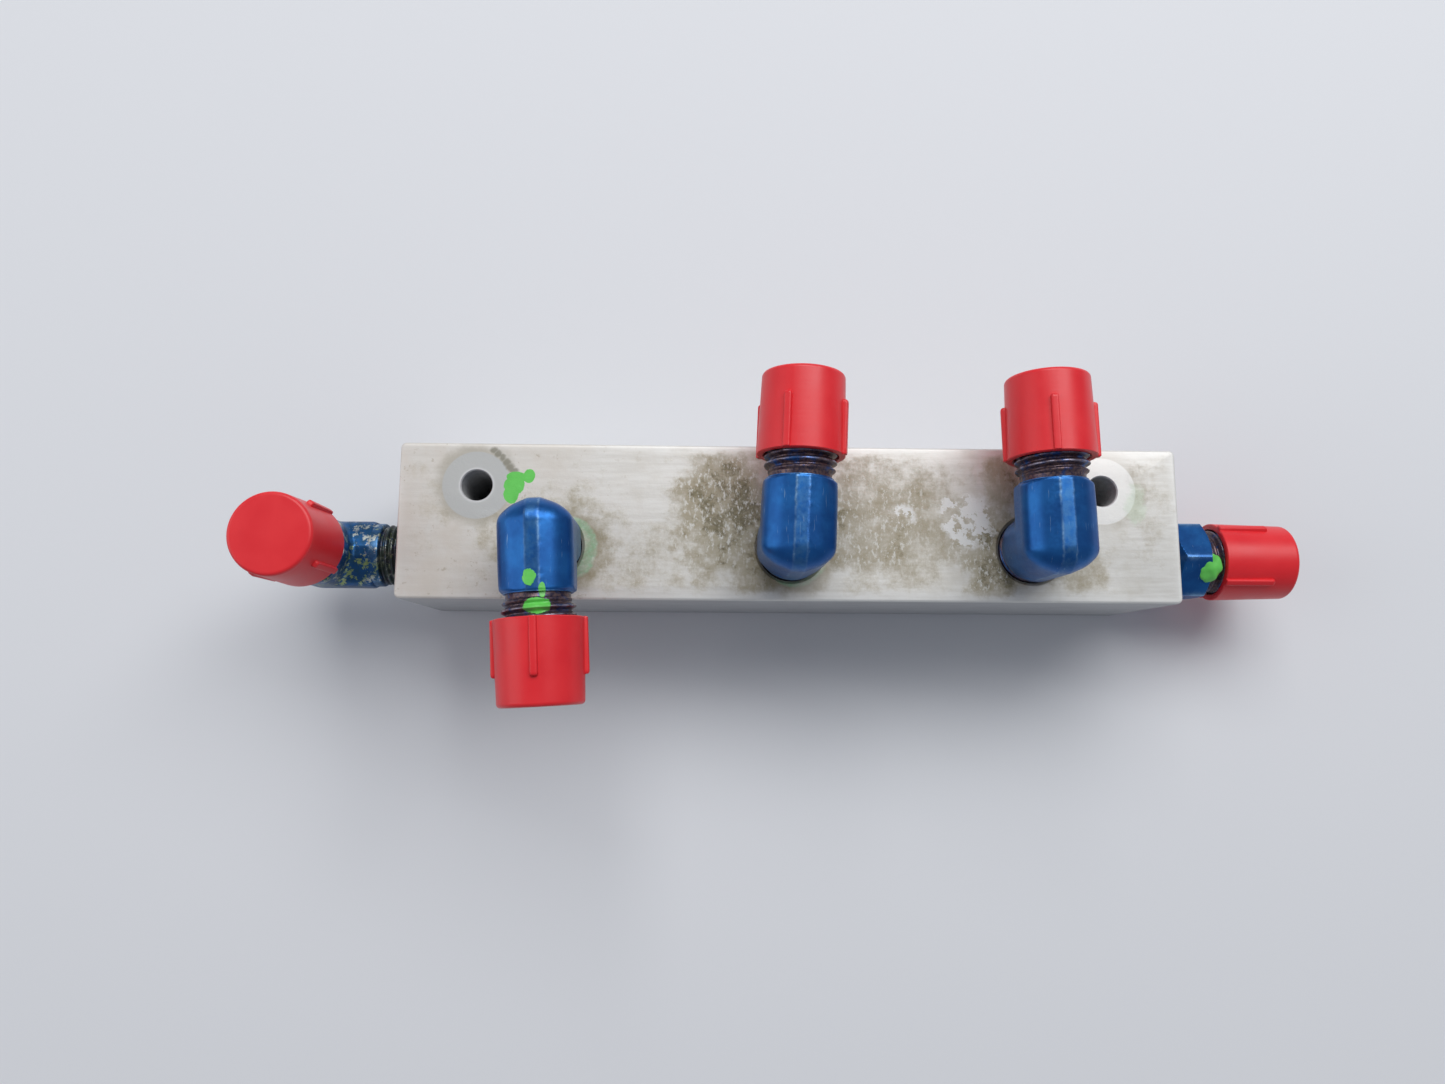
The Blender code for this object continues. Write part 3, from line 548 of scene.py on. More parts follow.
def add_forging(shell, seed):
    """The forged body, from the flare shoulder round a tight bend to the pipe collar. Its flare
    runs along +Y, and its section is turned round behind the shoulder and above the collar."""
    section = forged_section()
    out = section[:, 1]
    arc = np.maximum(out - BEND_START, BEND_RADIUS_LEAST)
    level_end, upright_start = arc - out, out - arc
    rows, shapes = [], []
    for share in np.linspace(0, 1, FLARE_LEG_ROWS) ** ROW_CROWDING:
        back = share * (FLARE_SHOULDER - level_end)
        near = share * (FLARE_SHOULDER + BEND_START)
        shape = turned_down(section, TURNED_RADIUS + TURNED_RUNOUT * max(0, near - TURNED_LENGTH))
        narrowing = 1 - SHOULDER_NARROWING * math.exp(-near / NARROWING_REACH)
        rows.append(np.stack([shape[:, 0] * narrowing, FLARE_SHOULDER - back, shape[:, 1]], axis=1))
        shapes.append(shape)
    for turn in np.linspace(0, math.pi / 2, BEND_ROWS)[1:]:
        y = level_end - arc * math.sin(turn)
        z = upright_start + arc * math.cos(turn)
        rows.append(np.stack([section[:, 0], y, z], axis=1))
        shapes.append(section)
    for share in 1 - np.linspace(1, 0, PIPE_LEG_ROWS)[1:] ** ROW_CROWDING:
        z = upright_start - share * (upright_start + COLLAR_START)
        above = (1 - share) * COLLAR_RUNOUT_LENGTH
        shape = turned_down(section, COLLAR_RADIUS + 0.1 * MM + 0.9 * above)
        rows.append(np.stack([shape[:, 0], -shape[:, 1], z], axis=1))
        shapes.append(shape)
    body, shape = np.array(rows), np.array(shapes)
    wander = np.array([noise.noise((0.35 * row, seed, 0)) for row in range(len(rows))])
    wander *= LAND_WANDER
    from_land = np.abs(shape[:, :, 0]) - LAND_HALF_WIDTH
    upper = shape[:, :, 1] > 0
    body[:, :, 0] += wander[:, None] * np.exp(-((from_land / LAND_WANDER_REACH) ** 2)) * upper
    land = np.clip(-from_land / LAND_FADE, 0, 1) * upper
    worn_side = np.where(shape[:, :, 0] < 0, 1.0, FAR_LAND_EDGE_WEAR)
    edge = np.exp(-((from_land / LAND_EDGE_REACH) ** 2)) * upper * worn_side
    edge[:2] = SHOULDER_WEAR
    shell.grid(body, land=land, edge=edge)
    for ring, centre in ((body[0], (0, FLARE_SHOULDER, 0)), (body[-1], (0, 0, -COLLAR_START))):
        middle = np.broadcast_to(np.array(centre, float), ring.shape)
        shell.grid(np.stack([ring, middle]))


def elbow_mesh(name, seed, matrix):
    """One elbow from its corner, with its flare along +Y and its pipe end down Z. The seed varies
    the wander of its lands."""
    shell = Shell()
    add_forging(shell, seed)
    add_flare_end(shell, FLARE_SHOULDER, FLARE_NOSE, 0, ALONG_Y)
    collar = [
        (PIPE_CREST - 0.3 * MM, -COLLAR_START + 0.6 * MM),
        (COLLAR_RADIUS, -COLLAR_START + 0.2 * MM),
        (COLLAR_RADIUS, -COLLAR_END),
        (PIPE_CREST - PIPE_DEPTH, -COLLAR_END),
    ]
    shell.grid(turned_rows(filleted(collar, COLLAR_ROUNDING), circle_angles()), edge=COLLAR_WEAR)
    add_pipe_end(shell, -COLLAR_END, -PIPE_TIP, 0, Matrix())
    return shell.make(name, matrix)


def hex_radius(angles):
    """A hexagon's radius at each angle, with a corner at angle 0."""
    within = (angles % (math.pi / 3)) - math.pi / 6
    return HEX_HALF_FLATS / np.cos(within)


def nipple_mesh(name, matrix):
    """The nipple along Z from its pipe tip, with a corner of its hex along +X."""
    shell = Shell()
    angles = circle_angles(COLUMNS_FINE)
    corner = HEX_HALF_FLATS / math.cos(math.pi / 6)
    chamfer = (corner - HEX_FACE_RADIUS) * 0.6
    limit = [
        (PIPE_CREST - PIPE_DEPTH, NIPPLE_HEX_START),
        (HEX_FACE_RADIUS, NIPPLE_HEX_START),
        (corner, NIPPLE_HEX_START + chamfer),
        (corner, NIPPLE_HEX_END - chamfer),
        (HEX_FACE_RADIUS, NIPPLE_HEX_END),
        (NECK_RADIUS - 0.2 * MM, NIPPLE_HEX_END),
    ]
    fine = np.array(filleted(limit, HEX_ROUNDING, 6))
    dense = np.concatenate([np.linspace(a, b, 6, endpoint=False) for a, b in zip(fine, fine[1:])])
    outline = np.concatenate([dense, fine[-1:]])
    cut = np.full((1, 1), corner - HEX_CORNER_CUT)
    flats = soft_min(hex_radius(angles)[None, :], cut, HEX_CORNER_SOFTNESS)
    radius = np.minimum(outline[:, :1], flats)
    height = outline[:, 1:] * np.ones_like(angles)
    rows = np.stack([radius * np.cos(angles), radius * np.sin(angles), height], axis=2)
    edge = np.exp(-(((hex_radius(angles) - corner) / HEX_EDGE_REACH) ** 2))
    shell.grid(rows, edge=edge)
    length = NIPPLE_HIGH.x - NIPPLE_LOW.x
    add_flare_end(shell, NIPPLE_HEX_END, length, length / 2, Matrix())
    add_pipe_end(shell, NIPPLE_HEX_START, 0, length / 2, Matrix())
    add_paint_blob(shell)
    return shell.make(name, matrix)


def add_paint_blob(shell):
    """A thick drop of marking paint on the hex face beside the upper corner."""
    angles, rows = circle_angles(64), np.linspace(0, math.pi, 34)[:, None]
    ball = np.stack(
        [np.sin(rows) * np.cos(angles), np.sin(rows) * np.sin(angles), np.cos(rows) + 0 * angles],
        axis=2,
    )
    lumps = [
        [1 + BLOB_LUMPS * noise.noise(Vector(point) * BLOB_LUMP_RATE) for point in row] for row in ball
    ]
    shape = ball * np.array(lumps)[:, :, None] * np.array(BLOB_REACH)
    face = Matrix.Rotation(BLOB_ANGLE, 4, "Z") @ Matrix.Translation((BLOB_RADIUS, 0, BLOB_HEIGHT))
    shell.grid(shape, face, paint=1.0)


def elbow_places():
    """Each elbow's matrix, from the frame's jets, cap joints and boxes."""
    places = {}
    for side in ("left", "middle", "right"):
        low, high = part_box(f"restrictor_jet_{side}")
        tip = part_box(f"elbow_top_{side}")[0].z
        ahead = Vector(JOINTS[f"top_{side}_cap_pull"]["axis"])
        turn = Matrix.Rotation(math.atan2(-ahead.x, ahead.y), 4, "Z")
        centre = ((low.x + high.x) / 2, (low.y + high.y) / 2, tip + PIPE_TIP)
        places[f"top_{side}"] = Matrix.Translation(centre) @ turn
    lying = Matrix(((0, 0, -1, 0), (-1, 0, 0, 0), (0, 1, 0, 0), (0, 0, 0, 1)))
    corner = (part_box("elbow_left_end")[1].x - PIPE_TIP, BORE_Y, BORE_Z)
    places["left_end"] = Matrix.Translation(corner) @ lying
    return places


# ---------------------------------------------------------------- dust caps


def cap_angles():
    """Angles round a cap, close together at its four ribs."""
    reach = 1.3 * RIB_HALF_WIDTH / CAP_RIM_RADIUS
    rib = np.linspace(-reach, reach, 27)
    between = np.linspace(reach, RIB_SPACING - reach, 16)[1:-1]
    one = np.concatenate([rib, between])
    return np.concatenate([one + RIB_SPACING * number for number in range(RIB_COUNT)])


def cap_mesh(name, matrix):
    """A cap along Z, measured from the elbow's corner, with four ribs for a finger grip."""
    angles = cap_angles()
    closed = [(0, CAP_CLOSED), (CAP_CLOSED_RADIUS, CAP_CLOSED), (CAP_RIM_RADIUS, CAP_RIM)]
    outer = np.array(filleted(closed, CAP_EDGE, 8))
    side = outer[outer[:, 0] > CAP_CLOSED_RADIUS - 0.02 * MM]
    top = outer[outer[:, 0] <= CAP_CLOSED_RADIUS - 0.02 * MM]
    heights = np.concatenate(
        [np.linspace(side[0, 1], RIB_END, 24), np.linspace(RIB_END, RIB_END - 1.2 * MM, 22)[1:]]
    )
    heights = np.concatenate([heights, np.linspace(heights[-1], CAP_RIM + 0.15 * MM, 30)[1:]])
    slope = (CAP_RIM_RADIUS - CAP_CLOSED_RADIUS) / (CAP_CLOSED - CAP_RIM)
    body = CAP_CLOSED_RADIUS + slope * (CAP_CLOSED - heights)
    nearest = (angles + RIB_SPACING / 2) % RIB_SPACING - RIB_SPACING / 2
    across = np.abs(nearest[None, :]) * body[:, None] / RIB_HALF_WIDTH
    ahead = np.clip((heights - (RIB_END - RIB_ROUND)) / RIB_ROUND, 0, None)[:, None]
    rounded = np.clip(1 - across**5 - ahead**3, 0, None) ** 0.3
    radius = body[:, None] + (RIB_TIP_RADIUS - body[:, None]) * rounded
    flat = np.ones_like(angles)
    height = heights[:, None] * flat
    rows = np.stack([radius * np.cos(angles), radius * np.sin(angles), height], axis=2)
    shell = Shell()
    shell.grid(np.concatenate([turned_rows(top, angles), rows]))
    # The rim turns in from the ribbed outside to the bore, in a few narrow steps.
    rim_rows = []
    for inset, rise in CAP_RIM_STEPS:
        rim_rows.append((radius[-1] - inset, CAP_RIM + rise))
    rim_rows.append((np.full_like(angles, CAP_BORE_RADIUS + 0.2 * MM), CAP_RIM))
    cos, sin = np.cos(angles), np.sin(angles)
    shell.grid(np.array([np.stack([r * cos, r * sin, z * flat], axis=1) for r, z in rim_rows]))
    inner = [
        (CAP_BORE_RADIUS + 0.2 * MM, CAP_RIM),
        (CAP_BORE_RADIUS, CAP_RIM + 0.3 * MM),
        (CAP_BORE_RADIUS, CAP_CLOSED - CAP_WALL),
        (0, CAP_CLOSED - CAP_WALL),
    ]
    shell.grid(turned_rows(filleted(inner, CAP_INNER_ROUNDING), angles))
    return shell.make(name, matrix)


# ---------------------------------------------------------------- bar


def make_bar(material):
    """The bar with its bores, ports and bolt holes, cut finer than in the frame."""
    centre, size = (BAR_LOW + BAR_HIGH) / 2, BAR_HIGH - BAR_LOW
    shape = bmesh.new()
    to_size = Matrix.Translation(centre) @ Matrix.Diagonal((*size, 1))
    bmesh.ops.create_cube(shape, size=1, matrix=to_size)
    mesh = bpy.data.meshes.new("bar")
    upright = [edge for edge in shape.edges if abs(edge.verts[0].co.z - edge.verts[1].co.z) > MM]
    rounding = {"offset": BAR_CORNER, "segments": 6, "profile": 0.5, "affect": "EDGES"}
    bmesh.ops.bevel(shape, geom=upright, **rounding)
    shape.to_mesh(mesh)
    shape.free()
    bar = bpy.data.objects.new("bar", mesh)
    bpy.context.scene.collection.objects.link(bar)
    bevel = bar.modifiers.new("Edges", "BEVEL")
    bevel.width, bevel.segments, bevel.angle_limit = BAR_EDGE, 4, math.radians(40)
    cutters = bar_cutters()
    for tool in cutters:
        cut = bar.modifiers.new(tool.name, "BOOLEAN")
        cut.object = tool
    graph = bpy.context.evaluated_depsgraph_get()
    finished = bpy.data.meshes.new_from_object(bar.evaluated_get(graph))
    for obj in [bar, *cutters]:
        bpy.data.objects.remove(obj)
    finished.materials.clear()
    finished.shade_smooth()
    finished.set_sharp_from_angle(angle=BAR_SMOOTH_ANGLE)
    add_piece("bar", finished, material, "manifold", "valve_block")


def make_cutter(name, outline, matrix):
    shell = Shell()
    shell.grid(turned_rows(outline, circle_angles(CUTTER_COLUMNS)))
    obj = bpy.data.objects.new(name, shell.make(name, matrix))
    bpy.context.scene.collection.objects.link(obj)
    return obj


def end_port_outline(side):
    """The cutter of one end port, from outside the bar inwards."""
    half, lip = BAR_HIGH.x, PORT_MOUTH_RADIUS + PORT_CHAMFER
    return [
        (0, side * (half + CUT_PAST)),
        (lip, side * (half + CUT_PAST)),
        (lip, side * half),
        (PORT_MOUTH_RADIUS, side * (half - PORT_CHAMFER)),
        (PORT_BOTTOM_RADIUS, side * (half - END_PORT_DEPTH)),
        (MAIN_BORE_RADIUS, side * (half - END_PORT_DEPTH)),
    ]


def main_bore_outline():
    """The cutter of the main bore, from one end port through the web to the other."""
    web = [
        (MAIN_BORE_RADIUS, WEB_HALF_LENGTH),
        (WEB_BORE_RADIUS, WEB_HALF_LENGTH),
        (WEB_BORE_RADIUS, -WEB_HALF_LENGTH),
        (MAIN_BORE_RADIUS, -WEB_HALF_LENGTH),
    ]
    return end_port_outline(1) + web + end_port_outline(-1)[::-1]


def top_port_outline():
    """The cutter of one upper port, from above the bar down to the main bore's axis."""
    top, lip = BAR_HIGH.z, PORT_MOUTH_RADIUS + PORT_CHAMFER
    return [
        (0, top + CUT_PAST),
        (lip, top + CUT_PAST),
        (lip, top),
        (PORT_MOUTH_RADIUS, top - PORT_CHAMFER),
        (PORT_BOTTOM_RADIUS, top - TOP_PORT_DEPTH),
        (PORT_DRILL_RADIUS, top - TOP_PORT_DEPTH),
        (PORT_DRILL_RADIUS, BORE_Z),
        (0, BORE_Z),
    ]


def bolt_hole_outline():
    """The cutter of one bolt hole, with its upper edge broken."""
    top, broken = BAR_HIGH.z, BOLT_HOLE_RADIUS + BOLT_HOLE_BREAK
    return [
        (0, top + CUT_PAST),
        (broken, top + CUT_PAST),
        (broken, top),
        (BOLT_HOLE_RADIUS, top - BOLT_HOLE_BREAK_DEPTH),
        (BOLT_HOLE_RADIUS, -CUT_PAST),
        (0, -CUT_PAST),
    ]


def bar_cutters():
    """The main bore with its web, the three upper ports and the bolt holes."""
    along = Matrix.Translation((0, BORE_Y, BORE_Z)) @ ALONG_X
    made = [make_cutter("main_bore", main_bore_outline(), along)]
    for side, matrix in elbow_places().items():
        if side != "left_end":
            x, y = matrix.translation.xy
            there = Matrix.Translation((x, y, 0))
            made.append(make_cutter(f"port_{side}", top_port_outline(), there))
    for side in (-1, 1):
        there = Matrix.Translation((side * BOLT_HOLE.x, BOLT_HOLE.y, 0))
        made.append(make_cutter("bolt_hole", bolt_hole_outline(), there))
    return made


# ---------------------------------------------------------------- materials


def bar_stain(s, ragged, mottle):
    """How thick the olive crust is on the bar's top, round the elbows and over the middle."""
    wander = s.math("MULTIPLY_ADD", s.math("SUBTRACT", mottle, 0.5), 1.6, ragged)
    stained = None
    for x, y, reach_x, reach_y, amount in STAINS:
        there = s.both(s.spot((x, y), (reach_x, reach_y), wander, 1.3, 1.1), amount)
        stained = there if stained is None else s.either(stained, there)
    edge = s.math("MULTIPLY_ADD", ragged, 2.4 * MM, bar_edge(s))
    return s.both(stained, s.band(edge, 1.3 * MM, 3.6 * MM))


def bar_edge(s):
    """The distance in from the nearest side of the bar."""
    edge_x = s.math("SUBTRACT", BAR_HIGH.x, s.math("ABSOLUTE", s.axis("X")))
    edge_y = s.math("SUBTRACT", BAR_HIGH.y, s.math("ABSOLUTE", s.axis("Y")))
    return s.math("MINIMUM", edge_x, edge_y)


def bar_marks(s, base, ragged, fine):
    """Washer marks, old paint and thread sealant on the bar's top."""
    for side, tone, halo in ((-1, WASHER_GREY, 0.7), (1, WASHER_WHITE, 0.25)):
        reach = s.distance(side * BOLT_HOLE.x, BOLT_HOLE.y)
        uneven = s.math("MULTIPLY_ADD", s.math("SUBTRACT", ragged, 0.5), 3.2 * MM, reach)
        grimy = s.band(uneven, WASHER_RADIUS + 2.2 * MM, WASHER_RADIUS - 0.2 * MM)
        base = s.mix(s.both(grimy, halo), base, colour(0.40, 0.37, 0.30))
        washer = s.band(reach, WASHER_RADIUS + 0.10 * MM, WASHER_RADIUS - 0.15 * MM)
        base = s.mix(s.both(washer, 0.85), base, tone)
        # A lighter ring round each bolt hole is a painted highlight of its broken edge.
        rim = s.band(reach, BOLT_HOLE_RADIUS + 0.6 * MM, BOLT_HOLE_RADIUS + 0.1 * MM)
        base = s.mix(s.both(rim, 0.5), base, colour(0.80, 0.80, 0.80))
    residue = s.spot(RESIDUE[:2], RESIDUE[2:], ragged, 0.7, 2.4)
    base = s.mix(s.both(residue, 0.4), base, colour(0.55, 0.68, 0.50))
    smear = s.either(*(s.spot((x, y), (a, b), fine, 0.9, 1.4) for x, y, a, b in SMEARS))
    base = s.mix(s.both(smear, 0.75), base, colour(0.20, 0.19, 0.14))
    for x, y, radius in SEALANT:
        ring = s.spot((x, y), (radius * 1.25, radius * 1.25), ragged, 0.5, 0.8)
        base = s.mix(s.both(ring, 0.6), base, colour(0.27, 0.22, 0.12))
        disc = s.spot((x, y), (radius, radius), ragged, 0.12, 0.35)
        worn = s.both(disc, s.band(fine, 0.25, 0.6, 1.0, 0.55))
        tone = s.mix(s.band(ragged, 0.40, 0.60), colour(0.30, 0.56, 0.34), colour(0.60, 0.68, 0.55))
        base = s.mix(s.both(worn, 0.9), base, tone)
    green = s.either(*(s.spot((x, y), (a, b), ragged, 0.08, 0.7) for x, y, a, b in BAR_PAINT))
    return s.mix(green, base, paint_tone(s))


def paint_tone(s):
    return s.mix(s.noise(1.5 * MM), colour(0.10, 0.50, 0.07), colour(0.17, 0.68, 0.13))


def bar_material():
    """Bare machined aluminium, chalky with oxide, stained round its ports."""
    s = Shader("worn_aluminium")
    streaks = s.noise(0.6 * MM, 4, 0.6, s.stretched((0.08, 1, 1)))
    mottle = s.noise(8 * MM, 6, 0.6)
    ragged = s.noise(2.6 * MM, 7, 0.62)
    depth = s.noise(3.2 * MM, 9, 0.74)
    fine = s.noise(0.7 * MM, 6, 0.7)
    base = s.mix(s.band(streaks, 0.3, 0.7), colour(0.66, 0.645, 0.60), colour(0.75, 0.74, 0.70))
    base = s.mix(s.band(mottle, 0.5, 0.75, 0.0, 0.5), base, colour(0.54, 0.51, 0.43))
    base = s.mix(s.band(fine, 0.55, 0.75, 0.0, 0.45), base, colour(0.74, 0.75, 0.72))
    rim = s.band(s.math("MULTIPLY_ADD", ragged, 2.2 * MM, bar_edge(s)), 2.9 * MM, 0.9 * MM)
    base = s.mix(s.both(rim, 0.6), base, colour(0.84, 0.84, 0.81))
    # The left-hand third is warmer, and freckled brown.
    warm = s.band(s.axis("X"), -14 * MM, -44 * MM)
    base = s.mix(s.both(warm, s.band(mottle, 0.3, 0.7, 0.2, 0.7)), base, colour(0.66, 0.60, 0.53))
    freckles = s.band(s.noise(1.3 * MM, 6, 0.7), 0.60, 0.68, 0.0, 0.45)
    base = s.mix(s.both(warm, freckles), base, colour(0.36, 0.29, 0.19))
    stain = bar_stain(s, ragged, mottle)
    uneven = s.math("SUBTRACT", depth, 0.5)
    wash = s.band(s.math("MULTIPLY_ADD", uneven, 1.5, stain), 0.08, 0.80)
    tone = s.mix(s.band(mottle, 0.35, 0.65), colour(0.36, 0.30, 0.18), colour(0.42, 0.37, 0.25))
    base = s.mix(s.both(wash, 0.78), base, tone)
    crust = s.band(s.math("MULTIPLY_ADD", uneven, 2.2, stain), 0.78, 1.12)
    tone = s.mix(s.band(fine, 0.32, 0.68), colour(0.13, 0.11, 0.06), colour(0.28, 0.245, 0.14))
    base = s.mix(s.both(crust, 0.8), base, tone)
    # White specks stand in upright flecks where the crust has come off.
    specks = s.noise(0.7 * MM, 8, 0.74, s.stretched((1, 0.5, 1)))
    flaked = s.either(*(s.spot((x, y), (a, b), ragged, 0.8, 1.0) for x, y, a, b in FLAKED))
    amount = s.both(s.band(specks, 0.51, 0.60), s.band(flaked, 0, 1, 0.35, 1.0))
    base = s.mix(s.both(amount, wash), base, colour(0.72, 0.71, 0.65))
    bare = s.either(*(s.spot((x, y), (a, b), ragged, 0.5, 1.6) for x, y, a, b in BARE))
    islands = s.band(s.noise(1.9 * MM, 7, 0.66), 0.48, 0.51)
    base = s.mix(s.both(bare, islands), base, colour(0.80, 0.80, 0.77))
    base = bar_marks(s, base, ragged, fine)
    # The sides get a darker grey than the top as painted shade, though they are the same aluminium.
    top = s.band(s.axis("Z"), BAR_HIGH.z - 0.7 * MM, BAR_HIGH.z - 0.1 * MM)
    painted_shade_wall = s.mix(s.band(streaks, 0.3, 0.7), colour(0.42, 0.425, 0.43), colour(0.52, 0.525, 0.525))
    painted_shade_wall = s.mix(s.band(fine, 0.55, 0.75, 0.0, 0.35), painted_shade_wall, colour(0.62, 0.62, 0.60))
    base = s.mix(top, painted_shade_wall, base)
    bump = s.bump(streaks, 0.006 * MM)
    bump = s.bump(fine, 0.02 * MM, normal=bump)
    bump = s.bump(s.both(wash, depth), 0.05 * MM, normal=bump)
    rough = s.band(wash, 0, 1, 0.46, 0.78)
    return s.finish(Base_Color=base, Metallic=0.25, Roughness=rough, Normal=bump)


def blue_material():
    """Blue anodised aluminium, satin, with scuffed edges and dirty threads."""
    s = Shader("blue_anodised")
    cloud = s.noise(4 * MM, 4, 0.55)
    fine = s.noise(0.45 * MM, 6, 0.65)
    ragged = s.noise(1.3 * MM, 6, 0.65)
    base = s.mix(s.band(cloud, 0.35, 0.7), colour(0.008, 0.085, 0.30), colour(0.014, 0.13, 0.40))
    land = s.both(s.attribute("land"), s.band(ragged, 0.35, 0.65, 0.0, 0.5))
    base = s.mix(land, base, colour(0.06, 0.19, 0.38))
    edge = s.both(s.attribute("edge"), s.band(cloud, 0.38, 0.60, 0.15, 0.8))
    base = s.mix(s.both(edge, s.band(fine, 0.3, 0.6, 0.35, 0.8)), base, colour(0.30, 0.50, 0.68))
    scratch = s.noise(0.25 * MM, 3, 0.6, s.stretched((1, 0.06, 0.3)))
    base = s.mix(s.both(s.band(scratch, 0.66, 0.72), 0.35), base, colour(0.30, 0.46, 0.60))
    thread = s.attribute("thread")
    dirt = s.both(thread, s.band(s.noise(2.2 * MM, 5, 0.6), 0.30, 0.50))
    grime = s.mix(s.band(fine, 0.35, 0.65), colour(0.045, 0.03, 0.045), colour(0.20, 0.12, 0.09))
    base = s.mix(s.both(dirt, 0.92), base, grime)
    worn = s.both(s.band(s.attribute("crest"), 0.85, 1.0), s.band(ragged, 0.40, 0.60))
    base = s.mix(s.both(worn, 0.75), base, colour(0.34, 0.33, 0.42))
    # The left-hand elbow is scuffed down to flakes of old paint and sealant.
    left = s.band(s.axis("X"), BAR_LOW.x - 0.2 * MM, BAR_LOW.x - 1.4 * MM)
    base = s.mix(s.both(left, s.band(ragged, 0.35, 0.65, 0.3, 0.85)), base, colour(0.02, 0.075, 0.13))
    flakes = s.band(s.noise(1.4 * MM, 8, 0.72), 0.53, 0.58)
    pale = s.mix(s.band(cloud, 0.42, 0.58), colour(0.36, 0.46, 0.14), colour(0.62, 0.64, 0.55))
    near = s.band(s.axis("Z"), BORE_Z + 1 * MM, BORE_Z + 3 * MM)
    base = s.mix(s.both(s.both(left, flakes), s.both(near, 0.8)), base, pale)
    grime = s.both(s.both(left, thread), s.band(ragged, 0.35, 0.6))
    base = s.mix(s.both(grime, 0.75), base, colour(0.07, 0.085, 0.05))
    above = s.band(s.axis("Z"), BAR_HIGH.z + 10 * MM, BAR_HIGH.z + 11 * MM)
    marks = (s.spot((x, y), (a, b), ragged, 0.08, 0.9) for x, y, a, b in ELBOW_PAINT)
    paint = s.either(s.both(s.either(*marks), above), s.attribute("paint"))
    base = s.mix(paint, base, paint_tone(s))
    metal = s.band(paint, 0, 1, 0.7, 0.0)
    bump = s.bump(fine, 0.006 * MM)
    bump = s.bump(cloud, 0.02 * MM, normal=bump)
    bump = s.bump(paint, 0.06 * MM, normal=bump)
    rough = s.band(fine, 0.3, 0.7, 0.30, 0.40)
    return s.finish(Base_Color=base, Metallic=metal, Roughness=rough, Normal=bump)


def red_material():
    """Satin red polyethylene with fine lines from its mould."""
    s = Shader("red_polyethylene")
    cloud = s.noise(5 * MM, 3, 0.5)
    fine = s.noise(0.35 * MM, 4, 0.6)
    base = s.mix(cloud, colour(0.70, 0.013, 0.022), colour(0.82, 0.026, 0.032))
    own = s.add("Attribute", "Vector", attribute_name="own")
    rings = s.add("Mapping", inputs={"Vector": own, "Scale": (0.03, 0.03, 1)})
    lines = s.noise(0.35 * MM, 2, 0.5, rings)
    bump = s.bump(lines, 0.01 * MM)
    bump = s.bump(fine, 0.008 * MM, normal=bump)
    rough = s.band(cloud, 0.3, 0.7, 0.34, 0.42)
    return s.finish(
        Base_Color=base,
        Roughness=rough,
        Normal=bump,
        Subsurface_Weight=0.15,
        Subsurface_Radius=(0.0015, 0.0004, 0.0003),
    )


def metal_material(name, dark, light, roughness):
    """A turned metal with fine lines round it."""
    s = Shader(name)
    lines = s.noise(0.15 * MM, 2, 0.5, s.stretched((1, 0.06, 0.06)))
    cloud = s.noise(1.5 * MM, 4, 0.6)
    base = s.mix(s.band(cloud, 0.3, 0.7), dark, light)
    bump = s.bump(lines, 0.006 * MM)
    rough = s.band(lines, 0.3, 0.7, roughness, roughness + 0.12)
    return s.finish(Base_Color=base, Metallic=1.0, Roughness=rough, Normal=bump)


def rubber_material():
    s = Shader("nitrile_rubber")
    fine = s.noise(0.2 * MM, 4, 0.6)
    base = s.mix(fine, colour(0.012, 0.012, 0.012), colour(0.03, 0.03, 0.03))
    return s.finish(Base_Color=base, Roughness=s.band(fine, 0.3, 0.7, 0.5, 0.65))


# ---------------------------------------------------------------- assembly


def make_fittings(blue):
    for seed, (name, matrix) in enumerate(elbow_places().items()):
        mesh = elbow_mesh(f"fitting_{name}", seed * 7.3, matrix)
        add_piece(f"fitting_{name}", mesh, blue, "manifold", f"elbow_{name}")
    # A corner of the hex points up.
    there = Matrix.Translation((NIPPLE_LOW.x, BORE_Y, BORE_Z)) @ ALONG_X
    mesh = nipple_mesh("fitting_right_end", there @ Matrix.Rotation(math.pi, 4, "Z"))
    add_piece("fitting_right_end", mesh, blue, "manifold", "nipple_right_end")


def make_caps(red):
    places = {name: matrix @ ALONG_Y for name, matrix in elbow_places().items()}
    corner = NIPPLE_HIGH.x - FLARE_NOSE
    places["right_end"] = Matrix.Translation((corner, BORE_Y, BORE_Z)) @ ALONG_X
    for name, matrix in places.items():
        turn = Matrix.Rotation(math.radians(CAP_TURN[name]), 4, "Z")
        mesh = cap_mesh(f"dust_cap_{name}", matrix @ turn)
        add_piece(f"dust_cap_{name}", mesh, red, f"{name}_cap", f"cap_{name}")


def spring_mesh(name, low, high, turns):
    """A round-wire coil along X that fills a box, with one closed turn at each end."""
    wire = SPRING_WIRE / 2
    radius = (high.z - low.z) / 2 - wire
    start, end = low.x + wire, high.x - wire
    turn = np.linspace(0, turns, turns * 48 + 1)
    rises = [start, start + SPRING_CLOSED_RISE, end - SPRING_CLOSED_RISE, end]
    along = np.interp(turn, [0, 1, turns - 1, turns], rises)
    angle = turn * 2 * math.pi
    outward = np.stack([0 * angle, np.sin(angle), -np.cos(angle)], axis=1)
    centre = outward * radius + np.array((0, BORE_Y, BORE_Z))
    centre[:, 0] = along
    forward = np.gradient(centre, axis=0)
    forward /= np.linalg.norm(forward, axis=1)[:, None]
    across = np.cross(forward, outward)
    across /= np.linalg.norm(across, axis=1)[:, None]
    ring = circle_angles(16)[None, :, None]
    tube = centre[:, None] + wire * (outward[:, None] * np.cos(ring) + across[:, None] * np.sin(ring))
    shell = Shell()
    shell.grid(tube)
    for cut in (0, -1):
        shell.grid(np.stack([tube[cut], np.broadcast_to(centre[cut], tube[cut].shape)]))
    return shell.make(name)


